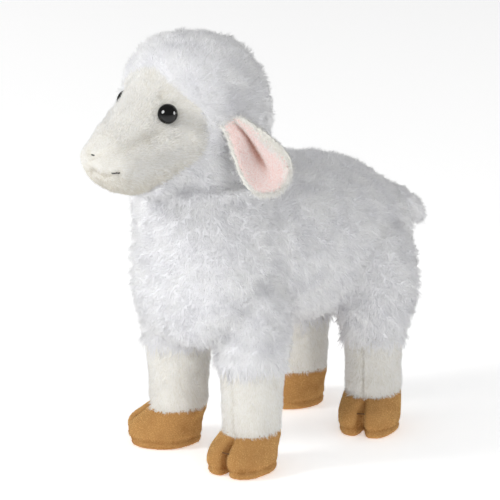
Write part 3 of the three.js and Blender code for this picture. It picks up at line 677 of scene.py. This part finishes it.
    # the map for the finish
    across = number("MULTIPLY_ADD", named("height", "FLOAT"), fibreMap["width"], fibreMap["left"])
    tone = number("ADD", number("MULTIPLY", named("tint", "FLOAT"), pile["mottle"]),
                  number("MULTIPLY", named("shade", "FLOAT"), 1 - pile["mottle"]))
    side = number("MULTIPLY_ADD", named("side", "FLOAT"), fibreMap["sideHeight"], fibreMap["bottom"])
    up = number("MULTIPLY_ADD", tone, fibreMap["height"], side)
    fibres = store(fibres, "OFBake", combined(across, up, 0.0), "FLOAT2", "CORNER")
    for label in ("height", "side", "root", "tint", "reach", "pile", "density", "comb", "shade"):
        fibres = addNode(tree, "GeometryNodeRemoveAttribute", {"Geometry": fibres, "Name": label}).outputs[0]
    fibres = addNode(tree, "GeometryNodeSetMaterial", {"Geometry": fibres, "Material": material}).outputs[0]
    tree.links.new(fibres, end.inputs[0])
    return tree


# length, width and the sizes of lumps, clumps, waves and patches in mm, density in fibres to a square mm,
# and the rest as shares: mottle is how much of a fibre's tone is its own, and skinShare how much of its
# shading follows the skin that it stands on
piles = {
    "fleece": {"segments": 2, "length": 8.5, "width": 0.72, "uneven": 0.55, "lump": 11, "lumpDepth": 0.4,
               "stray": 0.35, "clump": 9, "gather": 0.7, "swirl": 0.5, "wave": 9, "waviness": 0.8,
               "droop": 0.1, "density": 1.5, "mottle": 0.15, "patch": 14, "skinShare": 0.45},
    "short": {"segments": 1, "length": 5.6, "width": 0.52, "uneven": 0.5, "lump": 9, "lumpDepth": 0.35,
              "stray": 0.4, "clump": 9, "gather": 0.15, "swirl": 0.1, "wave": 11, "waviness": 0.7,
              "droop": 0.0, "density": 4.2, "mottle": 0.45, "patch": 10, "skinShare": 0.3},
    "velour": {"segments": 1, "length": 2.0, "width": 0.5, "uneven": 0.4, "lump": 6, "lumpDepth": 0.3,
               "stray": 0.7, "clump": 5, "gather": 0.1, "swirl": 0.0, "wave": 5, "waviness": 0.4,
               "droop": 0.0, "density": 5.0, "mottle": 0.4, "patch": 6, "skinShare": 0.5},
    "lining": {"segments": 1, "length": 2.6, "width": 0.5, "uneven": 0.5, "lump": 6, "lumpDepth": 0.3,
               "stray": 0.7, "clump": 5, "gather": 0.1, "swirl": 0.0, "wave": 5, "waviness": 0.4,
               "droop": 0.0, "density": 7.0, "mottle": 0.2, "patch": 6, "skinShare": 0.45},
}


# flow is the way the pile was brushed, weight is 0 where none grows, stand is its length as a share and
# shade is 0 where its colour is deepest and 1 where it is lightest: random patches, with painted light and
# shade on some piles. Each is a function of the skin
def growPile(name, skinName, covers, coat, body, flow, weight=None, stand=None, shade=None, seedShift=0):
    made, kind = skins[skinName], coats[coat]["kind"]
    pile = piles[kind]
    points, normals = made["points"], made["normals"]
    grows = np.isin(made["label"], covers).astype(float)
    if weight is not None:
        grows *= weight(made)
    mesh = made["skin"].data.copy()
    triangles = 6 * pile["segments"] - 2  # in one three-sided cone
    area = sum(face.area * grows[list(face.vertices)].mean() for face in mesh.polygons)
    density = min(pile["density"] * 1e6, coats[coat]["most"] / triangles / area)
    brushed = flow(made)
    brushed -= normals * (brushed * normals).sum(axis=1, keepdims=True)
    writeAttribute(mesh, "density", grows * density)
    writeAttribute(mesh, "pile", np.ones(len(points)) if stand is None else stand(made))
    writeAttribute(mesh, "comb", brushed)
    writeAttribute(mesh, "shade", 0.5 + 0.5 * bumps(points, pile["patch"]) if shade is None
                   else shade(made))
    writeAttribute(mesh, "skinNormal", normals)
    piece = addPiece(name, mesh)
    grown = pileTree(name, pile, finishes[kind]["pile"], coats[coat]["seed"] + seedShift)
    piece.modifiers.new("pile", "NODES").node_group = grown
    finishModifiers(piece)
    mesh = piece.data
    facing = vectorsOf(mesh.attributes["skinNormal"].data, "vector") * pile["skinShare"]
    facing += normalsOf(mesh) * (1 - pile["skinShare"])
    facing /= np.linalg.norm(facing, axis=1, keepdims=True).clip(1e-6)
    mesh.attributes.remove(mesh.attributes["skinNormal"])
    mesh.polygons.foreach_set("use_smooth", [True] * len(mesh.polygons))
    mesh.normals_split_custom_set_from_vertices(facing)
    carry(piece, body)
    piece.visible_shadow = False  # light goes through loose pile, so it keeps no hard shade on itself
    print(name, f"{area * 1e6:.0f} mm2", f"{density / 1e6:.2f} per mm2", len(mesh.polygons), "faces")


# the finishes: where on the fibre's map each ramp of colour starts and is full
mapRamps = {"rise": (0.05, 0.8), "tone": (0.15, 0.75)}


# soft pile: no gloss, a weak pale sheen at its edges, and a deeper colour at its roots and in its deep tone,
# partly the fibres' own colour and partly painted shade down between them
def pileMaterial(name, root, tip, deep, roughness, sheen, sheenTint):
    material, tree, shader = newMaterial(name, {
        "Roughness": roughness, "Specular IOR Level": 0.0, "Sheen Weight": sheen, "Sheen Roughness": 0.5,
        "Sheen Tint": linearColour(sheenTint)})
    chart = addNode(tree, "ShaderNodeUVMap", uv_map="OFBake").outputs[0]
    apart = addNode(tree, "ShaderNodeSeparateXYZ", {0: chart})
    rise = addNode(tree, "ShaderNodeValToRGB", {0: apart.outputs[0]})
    tone = addNode(tree, "ShaderNodeValToRGB", {0: apart.outputs[1]})
    for ramp, colours, places in ((rise, (root, tip), mapRamps["rise"]),
                                  (tone, (deep, "#FFFFFF"), mapRamps["tone"])):
        for element, colour, place in zip(ramp.color_ramp.elements, colours, places):
            element.color, element.position = linearColour(colour), place
    tinted = addNode(tree, "ShaderNodeMix", {0: 1.0, 6: rise.outputs[0], 7: tone.outputs[0]},
                     data_type="RGBA", blend_type="MULTIPLY").outputs[2]
    tree.links.new(tinted, shader.inputs["Base Color"])
    return material


# a knitted backing: matt, with fine ribs. A wave at scale 1 has 20 / (2 pi) bands to the metre
knit = {"rib": 0.98175, "waviness": 1.5, "shade": 0.97, "height": 0.2}  # rib and height in mm


def backingMaterial(name, colour):
    material, tree, shader = newMaterial(name, {"Roughness": 0.95, "Specular IOR Level": 0.2})
    place = addNode(tree, "ShaderNodeTexCoord").outputs["Object"]
    ribs = addNode(tree, "ShaderNodeTexWave",
                   {"Vector": place, "Scale": 2 * math.pi / 20 / (knit["rib"] * mm),
                    "Distortion": knit["waviness"], "Detail": 1.0}, bands_direction="Z").outputs[1]
    # the colour is a little darker down between the ribs, painted shade
    shade = addNode(tree, "ShaderNodeMapRange", {"Value": ribs, "To Min": knit["shade"], "To Max": 1.0})
    tinted = addNode(tree, "ShaderNodeHueSaturation",
                     {"Value": shade.outputs[0], "Color": linearColour(colour)}).outputs[0]
    tree.links.new(tinted, shader.inputs["Base Color"])
    raised = addNode(tree, "ShaderNodeBump",
                     {"Height": ribs, "Strength": 0.1, "Distance": knit["height"] * mm}).outputs[0]
    tree.links.new(raised, shader.inputs["Normal"])
    return material


# the curly fleece is white down to its roots, only a little cooler in scattered fibres and soft patches,
# painted shade laid at random
fleecePile = pileMaterial("fleecePile", "#F8F8F9", "#FFFFFF", "#EEEEF1", 0.9, 0.1, "#FFFFFF")
# the short plush is a warm white, painted grey-beige in its creases, along the sleeves' seams and where it
# faces down, all painted shade
creamPile = pileMaterial("creamPile", "#F9F7F2", "#FFFFFE", "#E0DBCF", 0.9, 0.1, "#FFFDFA")
# the ears' velour is a pale pink that turns dusky in the hollow, partly its own deeper pink and partly
# painted shade
pinkVelour = pileMaterial("pinkVelour", "#FCE9E5", "#FFFBFA", "#D2A28E", 0.9, 0.2, "#FFEDEA")
# the hooves' velour is a warm tan with paler tips; its tops are painted lighter, painted light, and its
# underside, cleft and sole seam browner, painted shade
tanVelour = pileMaterial("tanVelour", "#D09A55", "#FFDF9F", "#A67F4C", 0.85, 0.3, "#E8C79A")
finishes = {
    "fleece": {"slot": "fleece", "pile": fleecePile,
               "backing": backingMaterial("fleeceBacking", "#F6F6F8")},
    "short": {"slot": "short_pile", "pile": creamPile,
              "backing": backingMaterial("creamBacking", "#F7F5EE")},
    "lining": {"slot": "ear_lining", "pile": pinkVelour,
               "backing": backingMaterial("pinkBacking", "#F6DAD4")},
    "velour": {"slot": "hoof_velour", "pile": tanVelour,
               "backing": backingMaterial("tanBacking", "#C3935A")},
}

# the throat lies between the trunk and the head, over a stretch up from the neck's seam with the torso
neckBend = ("trunk", "head", (0, -0.019, 0.2171), (0, -0.052, 0.2611))
tailBendLength = 24  # mm
tailBend = ("trunk", "tail", tailRoot, tailRoot + (tailTip - tailRoot).normalized() * tailBendLength * mm)


# which way each pile was brushed, as the slope that its fibres lean at
def brushedDown(share, back=0.0):
    return lambda made: np.tile((0.0, back, -share), (len(made["points"]), 1))


def brushedFrom(spot, share):
    def flow(made):
        away = made["points"] - np.array(spot)
        return away / np.linalg.norm(away, axis=1, keepdims=True).clip(1e-6) * share
    return flow


# how near each point is to a seam: 1 on it, 0 from the reach on, which is in mm
def nearSeam(made, reach):
    return 1 - smoothStep(0, reach * mm, made["toSeam"])


# pile beside a seam is brushed away from the spot, so it doesn't hang over the cloth it meets
def sweptBack(spot, share, atSeam, reach):
    away = brushedFrom(spot, 1.0)
    return lambda made: away(made) * (share + (atSeam - share) * nearSeam(made, reach))[:, None]


# no pile grows further inside another skin than the margin, in mm
def clearOf(name, margin):
    tree = skins[name]["tree"]
    return lambda made: smoothStep(-margin * mm - mm, -margin * mm, outsideOf(tree, made["points"]))


# the left or the right half of a skin, by its sign
def halfOf(sign, other):
    return lambda made: (made["points"][:, 0] * sign > 0).astype(float) * other(made)


# how near each point is to a hem: 1 at its height and below, 0 from the reach above it on, both in mm
def nearHem(made, height, reach):
    return 1 - smoothStep(height * mm, (height + reach) * mm, made["points"][:, 2])


# a hem's pile hangs down over what comes out of it
def hangingFrom(height, reach, share, hang):
    def flow(made):
        down = np.zeros((len(made["points"]), 3))
        down[:, 2] = -(share + (hang - share) * nearHem(made, height, reach))
        return down
    return flow


# a hem's longest pile is at its edge, in shares of the usual length
def fringed(height, reach, most):
    return lambda made: 1 + (most - 1) * nearHem(made, height, reach)


def evenShare(share):
    return lambda made: np.full(len(made["points"]), share)


# what a user would change of each pile: its kind, its most triangles, the seed of its fibres, how far it is
# brushed, the reach of its seams, hems and rims in mm, and its length in shares of its kind's
coats = {
    "torso": {"kind": "fleece", "most": 140000, "seed": 11, "down": 0.35, "back": 0.15},
    "neck": {"kind": "fleece", "most": 90000, "seed": 21, "down": 0.35},
    "hood": {"kind": "fleece", "most": 143000, "seed": 31, "away": 0.45, "awayAtSeam": 1.0, "seamReach": 10,
             "atSeam": 0.55, "overEars": 0.6, "earReach": 14},
    "face": {"kind": "short", "most": 130000, "seed": 211, "away": 1.5, "atNose": 0.4, "noseReach": (10, 50),
             "shorterInCrease": 0.6},
    "upper": {"kind": "fleece", "most": 74000, "seed": 261, "down": 0.4, "downAtHem": 1.8, "hangReach": 14,
              "atHem": 1.7, "fringeReach": 9},
    "sleeve": {"kind": "short", "most": 48000, "seed": 271, "down": 1.5, "stand": 0.8},
    "hoof": {"kind": "velour", "most": 26000, "seed": 281, "down": 0.5, "stand": 0.7, "aboveFloor": 1.2,
             "facing": (-0.9, -0.7)},
    "tail": {"kind": "fleece", "most": 90000, "seed": 907, "away": 0.5},
    "ear": {"kind": "short", "most": 30000, "seed": 950, "away": 0.25, "overRim": 4.5, "frontRim": 0.25,
            "stand": 0.8, "longerAtRim": 0.7, "rimReach": 4, "tone": 0.9},
    "lining": {"kind": "lining", "most": 24000, "seed": 960, "away": 0.5, "tone": 0.95, "darkHollow": 0.95},
}
seedSteps = {"side": 100, "leg": 50}  # between the two halves, and from leg to leg
margins = {"fleece": 4, "sleeve": 3, "ear": 2}  # how far a pile runs on inside another skin, in mm
# the tones: how light a pile is, its patches and their size in mm, and the painted shade and painted light
# that darken or lighten it
faceTone = {"light": 0.85, "patches": 0.2, "size": 9, "creases": 0.8, "below": 1.3, "belowFrom": 0.15}
sleeveTone = {"light": 0.85, "patches": 0.25, "size": 9, "seam": 0.5}
hoofTone = {"light": 0.6, "patches": 0.5, "size": 7, "above": 0.25, "cleft": 0.7, "seam": 0.3}


def patchy(made, tone):
    return tone["light"] + tone["patches"] * bumps(made["points"], tone["size"])


# the hoof's velour in random patches, lighter on top as painted light, darker underneath, in its cleft and
# along its sole seam as painted shade
def hoofShade(made):
    light = patchy(made, hoofTone) + hoofTone["above"] * made["normals"][:, 2]
    light = light - hoofTone["cleft"] * made["cleftShare"] - hoofTone["seam"] * made["seamShare"]
    return np.clip(light, 0, 1)


# the hoof's velour ends short of the floor
def hoofWeight(made):
    above = made["points"][:, 2] > coats["hoof"]["aboveFloor"] * mm
    return smoothStep(*coats["hoof"]["facing"], made["normals"][:, 2]) * above


# the sleeve's pile in random patches, painted darker along the seam that shuts it, as painted shade
def sleeveShade(made):
    return np.clip(patchy(made, sleeveTone) - sleeveTone["seam"] * made["shut"], 0, 1)


# the ear back's pile also grows over the rim of the lining, more at its rear
def overRim(made):
    coat = coats["ear"]
    over = nearSeam(made, coat["overRim"]) * (coat["frontRim"] + (1 - coat["frontRim"]) * made["rear"])
    inside = np.char.endswith(made["label"], "lining")
    return clearOf("head", margins["ear"])(made) * np.where(inside, over, 1)


def longAtRim(made):
    coat = coats["ear"]
    return coat["stand"] + coat["longerAtRim"] * nearSeam(made, coat["rimReach"])


# the lining is painted darker in its hollow: partly its own dusky pink, partly painted shade
def hollowShade(made):
    return np.clip(coats["lining"]["tone"] - coats["lining"]["darkHollow"] * made["hollow"], 0, 1)


# the hood's pile is short beside the face and long where it hides the ears' roots
def hoodLength(made):
    coat = coats["hood"]
    away = smoothStep(0, coat["seamReach"] * mm, made["toSeam"])
    stand = coat["atSeam"] + (1 - coat["atSeam"]) * away
    for pivot in pivots.values():
        toEar = np.linalg.norm(made["points"] - np.array(pivot), axis=1)
        stand += coat["overEars"] * fadeOut(toEar, coat["earReach"])
    return stand


# the face's pile is short at the nose and in its creases
def faceLength(made):
    coat = coats["face"]
    near, far = coat["noseReach"]
    away = smoothStep(near * mm, far * mm, np.linalg.norm(made["points"] - noseTip, axis=1))
    stand = coat["atNose"] + (1 - coat["atNose"]) * away
    return stand * (1 - coat["shorterInCrease"] * made["creased"].clip(0, 1))


# the face's pile in random patches, painted darker in its creases and where it faces down, as painted shade
def faceShade(made):
    light = patchy(made, faceTone) - faceTone["creases"] * made["creased"]
    below = np.minimum(made["normals"][:, 2] + faceTone["belowFrom"], 0)
    return np.clip(light + faceTone["below"] * below, 0, 1)


clearOfHead, clearOfTrunk = clearOf("head", margins["fleece"]), clearOf("trunk", margins["fleece"])
noseTip = Vector(skins["head"]["points"][skins["head"]["points"][:, 1].argmin()])
torsoCoat, hoodCoat, upperCoat = coats["torso"], coats["hood"], coats["upper"]
swept = sweptBack(noseTip, hoodCoat["away"], hoodCoat["awayAtSeam"], hoodCoat["seamReach"])
for half, (side, sign) in enumerate(sides.items()):
    seedShift = half * seedSteps["side"]
    growPile(f"torso_fleece_{side}", "trunk", ["torso_cover"], "torso", "trunk",
             brushedDown(torsoCoat["down"], torsoCoat["back"]), halfOf(sign, clearOfHead),
             seedShift=seedShift)
    growPile(f"neck_fleece_{side}", "trunk", ["neck_cover"], "neck", neckBend,
             brushedDown(coats["neck"]["down"]), halfOf(sign, clearOfHead), seedShift=seedShift)
    growPile(f"hood_fleece_{side}", "head", ["hood_cover"], "hood", "head", swept,
             halfOf(sign, clearOfTrunk), hoodLength, seedShift=seedShift)
growPile("face_pile", "head", ["face_cover"], "face", "head", brushedFrom(noseTip, coats["face"]["away"]),
         None, faceLength, faceShade)
for number, leg in enumerate(legs):
    seedShift = number * seedSteps["leg"]
    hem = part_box(f"{leg}_upper_cover")[0].z / mm
    growPile(f"{leg}_upper_fleece", "trunk", [f"{leg}_upper_cover"], "upper", "trunk",
             hangingFrom(hem, upperCoat["hangReach"], upperCoat["down"], upperCoat["downAtHem"]), None,
             fringed(hem, upperCoat["fringeReach"], upperCoat["atHem"]), seedShift=seedShift)
    growPile(f"{leg}_sleeve_pile", leg, [f"{leg}_leg_sleeve"], "sleeve", "trunk",
             brushedDown(coats["sleeve"]["down"]), clearOf("trunk", margins["sleeve"]),
             evenShare(coats["sleeve"]["stand"]), sleeveShade, seedShift)
    growPile(f"{leg}_hoof_velour", leg, [f"{leg}_hoof_upper", f"{leg}_hoof_sole"], "hoof", "trunk",
             brushedDown(coats["hoof"]["down"]), hoofWeight, evenShare(coats["hoof"]["stand"]),
             hoofShade, seedShift)
growPile("tail_fleece", "tail", ["tail"], "tail", tailBend, brushedFrom(tailRoot, coats["tail"]["away"]),
         clearOfTrunk)
for side, sign in sides.items():
    name = f"{side}_ear"
    made = skins[name]
    pivot, tip = made["pivot"], made["tip"]
    made["bend"] = ("head", name, pivot, pivot + (tip - pivot).normalized() * ear["bend"] * mm)
    growPile(f"{name}_pile", name, [f"{name}_back", f"{name}_lining"], "ear", made["bend"],
             brushedFrom(pivot, coats["ear"]["away"]), overRim, longAtRim,
             evenShare(coats["ear"]["tone"]), sign)
    growPile(f"{name}_velour", name, [f"{name}_lining"], "lining", made["bend"],
             brushedFrom(pivot, coats["lining"]["away"]), clearOf("head", margins["ear"]), None,
             hollowShade, sign)

# the cloths themselves
uppers = [f"{leg}_upper_cover" for leg in legs]
torso = cutCloth("torso_cloth", "trunk", ["torso_cover"] + uppers, "fleece", "trunk")
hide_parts("torso_cover", "body_filling", *uppers)
neck = cutCloth("neck_cloth", "trunk", ["neck_cover"], "fleece", neckBend)
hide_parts("neck_cover")
hood = cutCloth("hood_cloth", "head", ["hood_cover"], "fleece", "head")
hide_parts("hood_cover", "head_filling")
face = cutCloth("face_cloth", "head", ["face_cover"], "short", "head")
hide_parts("face_cover", "left_eye_washer", "right_eye_washer")
for leg in legs:
    sleeve = cutCloth(f"{leg}_sleeve_cloth", leg, [f"{leg}_leg_sleeve"], "short", "trunk")
    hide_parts(f"{leg}_leg_sleeve", f"{leg}_leg_filling")
    shoe = [f"{leg}_hoof_upper", f"{leg}_hoof_sole"]
    hoof = cutCloth(f"{leg}_hoof_cloth", leg, shoe, "velour", "trunk")
    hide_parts(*shoe)
tail = cutCloth("tail_cloth", "tail", ["tail"], "fleece", tailBend)
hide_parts("tail")
for side in sides:
    name = f"{side}_ear"
    for layer, kind in (("back", "short"), ("lining", "lining")):
        node = f"{name}_{layer}"
        cloth = cutCloth(f"{node}_cloth", name, [node], kind, skins[name]["bend"])
        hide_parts(node)
for made in skins.values():
    bpy.data.objects.remove(made["skin"])
print("cloths cut")

# eyes: domes of polished black plastic on their stems, spun like the mould they came from
eye = {"steps": 48, "domeSteps": 12, "radius": 7.3, "height": 5.0, "rim": 0.5, "underRim": 0.8,
       "stem": 1.6, "stemLength": 9.0, "sink": {"left": 0.9, "right": 3.6}, "inwards": 0.3,
       "shift": (0, -0.7, 2.0), "tilt": (0, -0.12, 0.16)}  # mm, but for the two counts and the tilt
# black moulded plastic, polished: it mirrors two of the lamps as small sharp highlights
eyePlastic = newMaterial("eyePlastic", {"Base Color": linearColour("#080707"), "Roughness": 0.08,
                                        "IOR": 1.46})[0]


def eyeProfile():
    radius, height, rim = eye["radius"] * mm, eye["height"] * mm, eye["rim"] * mm
    under, stem, end = -eye["underRim"] * mm, eye["stem"] * mm, -eye["stemLength"] * mm
    profile = [(0, height)]
    for step in range(1, eye["domeSteps"] + 1):
        turn = math.pi / 2 * step / eye["domeSteps"]
        profile.append((radius * math.sin(turn), height * math.cos(turn)))
    return profile + [(radius, -rim), (radius - rim, under), (stem, under), (stem, end), (0, end)]


def spinEye(side):
    node = f"{side}_eye"
    shell = np.unique(pointsOf(nodes[node].data).round(6), axis=0)
    base = np.unique(pointsOf(nodes[f"{node}_washer"].data).round(6), axis=0).mean(axis=0)
    axis = shell.mean(axis=0) - base
    axis /= np.linalg.norm(axis)
    apex = base + axis * ((shell - base) @ axis).max() + np.array(eye["shift"]) * mm
    apex[0] -= math.copysign(eye["inwards"] * mm, apex[0])
    axis += np.array(eye["tilt"])
    axis /= np.linalg.norm(axis)
    form = bmesh.new()
    line = [form.verts.new((r, 0, z)) for r, z in eyeProfile()]
    edges = [form.edges.new(pair) for pair in zip(line[:-1], line[1:])]
    bmesh.ops.spin(form, geom=line + edges, axis=(0, 0, 1), cent=(0, 0, 0), steps=eye["steps"],
                   angle=2 * math.pi, use_merge=True)
    bmesh.ops.remove_doubles(form, verts=form.verts, dist=0.001 * mm)
    bmesh.ops.recalc_face_normals(form, faces=form.faces)
    turn = Vector(axis).to_track_quat("Z", "Y").to_matrix().to_4x4()
    place = Vector(apex) - Vector(axis) * (eye["height"] * mm + eye["sink"][side] * mm)
    bmesh.ops.transform(form, matrix=turn, verts=form.verts)
    bmesh.ops.translate(form, vec=place, verts=form.verts)
    for face in form.faces:
        face.smooth = True
    dome = addPiece(f"{side}_eye_dome", meshFrom(form, f"{side}_eye_dome"))
    dome.data.materials.append(eyePlastic)
    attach(dome, "head")
    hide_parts(node)


for side in sides:
    spinEye(side)
print("eyes set")

# stitches: short lengths of two-ply thread, a little bowed and drawn down at both ends. Lengths are in mm.
# The plies lie so close that they sink into each other a little
thread = {"ply": 0.3, "apartShare": 0.8, "turn": 1.6, "steps": 40, "above": 0.7, "sunk": 2.2,
          "fibre": 0.4, "fibreHeight": 0.1}


# embroidery thread: spun and matt, with fine lighter and darker fibres
def threadMaterial(name, light, dark):
    material, tree, shader = newMaterial(name, {"Roughness": 0.6})
    place = addNode(tree, "ShaderNodeTexCoord").outputs["Object"]
    strands = addNode(tree, "ShaderNodeTexNoise",
                      {"Vector": place, "Scale": 1 / (thread["fibre"] * mm), "Detail": 2.0}).outputs[0]
    colour = addNode(tree, "ShaderNodeMix", {0: strands, 6: linearColour(dark), 7: linearColour(light)},
                     data_type="RGBA").outputs[2]
    tree.links.new(colour, shader.inputs["Base Color"])
    raised = addNode(tree, "ShaderNodeBump", {"Height": strands, "Strength": 0.4,
                                              "Distance": thread["fibreHeight"] * mm}).outputs[0]
    tree.links.new(raised, shader.inputs["Normal"])
    return material


darkThread = threadMaterial("darkThread", "#3A3532", "#1C1918")
tanThread = threadMaterial("tanThread", "#8A6230", "#5E3F1B")


def layThread(node, material, body, skinName):
    shell = pointsOf(nodes[node].data)
    middle = shell.mean(axis=0)
    first = shell[((shell - middle) ** 2).sum(axis=1).argmax()]
    last = shell[((shell - first) ** 2).sum(axis=1).argmax()]
    run = last - first
    length = np.linalg.norm(run)
    along = Vector(run / length)
    tree = skins[skinName]["tree"]
    curve = bpy.data.curves.new(node, "CURVE")
    curve.dimensions, curve.bevel_depth, curve.bevel_resolution = "3D", thread["ply"] * mm, 2
    curve.use_fill_caps = True
    for ply in (0, math.pi):
        spline = curve.splines.new("POLY")
        spline.points.add(thread["steps"] - 1)
        for step, point in enumerate(spline.points):
            share = step / (thread["steps"] - 1)
            turn = ply + share * length / (thread["turn"] * mm) * 2 * math.pi
            spot, out = tree.find_nearest(Vector(first) + Vector(run) * share)[:2]
            out = (out - along * out.dot(along)).normalized()
            aside = along.cross(out)
            spot = spot + out * (thread["above"] - thread["sunk"] * (2 * share - 1) ** 4) * mm
            around = out * math.cos(turn) + aside * math.sin(turn)
            spot += around * thread["ply"] * mm * thread["apartShare"]
            point.co = (*spot, 1)
    drawn = bpy.data.objects.new(f"{node}_curve", curve)
    bpy.context.collection.objects.link(drawn)
    mesh = bpy.data.meshes.new_from_object(drawn.evaluated_get(bpy.context.evaluated_depsgraph_get()))
    bpy.data.objects.remove(drawn)
    piece = addPiece(f"{node}_thread", mesh)
    mesh.materials.clear()
    mesh.materials.append(material)
    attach(piece, body)
    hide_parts(node)


for node in ("nose_stitch", "left_mouth_stitch", "right_mouth_stitch"):
    layThread(node, darkThread, "head", "head")
for leg in legs:
    layThread(f"{leg}_cleft_stitch", tanThread, "trunk", leg)
print("stitches laid")

# light and floor: soft discs of light, place and size in m and power in W. The last two light nothing and
# show only as the eyes' highlights
lamps = {
    "key": {"place": (-0.5, -0.95, 0.82), "size": 0.42, "power": 6.4},
    "fillLeft": {"place": (1.3, -0.4, 0.5), "size": 1.0, "power": 3.9},
    "fillRight": {"place": (-1.3, 0.2, 0.5), "size": 1.0, "power": 1.4},
    "fillBack": {"place": (0.3, 1.4, 0.5), "size": 1.0, "power": 2.7},
    "top": {"place": (0.0, -0.3, 1.4), "size": 1.0, "power": 2.1},
    "windowLeft": {"place": (0.18, -1.21, 0.82), "size": 0.6, "power": 16, "mirrored": True},
    "windowRight": {"place": (1.25, 0.54, 0.47), "size": 0.6, "power": 12, "mirrored": True},
}
studio = {"lampsAimAt": (0, 0, 0.15), "ambient": 0.3, "floorSize": 30, "floorGlow": 0.45}


def addLight(name, place, size, power, mirrored=False):
    data = bpy.data.lights.new(name, "AREA")
    data.shape = "DISK"
    data.size = size
    data.energy = power
    lamp = bpy.data.objects.new(name, data)
    bpy.context.collection.objects.link(lamp)
    lamp.location = place
    lamp.rotation_euler = (Vector(studio["lampsAimAt"]) - Vector(place)).to_track_quat("-Z", "Y").to_euler()
    lamp.visible_glossy, lamp.visible_diffuse = mirrored, not mirrored


for name, lamp in lamps.items():
    addLight(name, **lamp)
world = bpy.data.worlds.new("studio")
bpy.context.scene.world = world
world.use_nodes = True
world.node_tree.nodes["Background"].inputs["Color"].default_value = linearColour("#FFFFFF")
world.node_tree.nodes["Background"].inputs["Strength"].default_value = studio["ambient"]
bpy.context.scene.view_settings.view_transform = "Standard"

# seamless studio paper, white and matt, whose glow keeps it as white as the photograph's background
white = linearColour("#FFFFFF")
paper = newMaterial("floorPaper", {"Base Color": white, "Emission Color": white,
                                   "Emission Strength": studio["floorGlow"]})[0]
form = bmesh.new()
bmesh.ops.create_grid(form, x_segments=1, y_segments=1, size=studio["floorSize"])
floor = addPiece("floor", meshFrom(form, "floor"))
floor.data.materials.append(paper)
print("lamps and floor set")
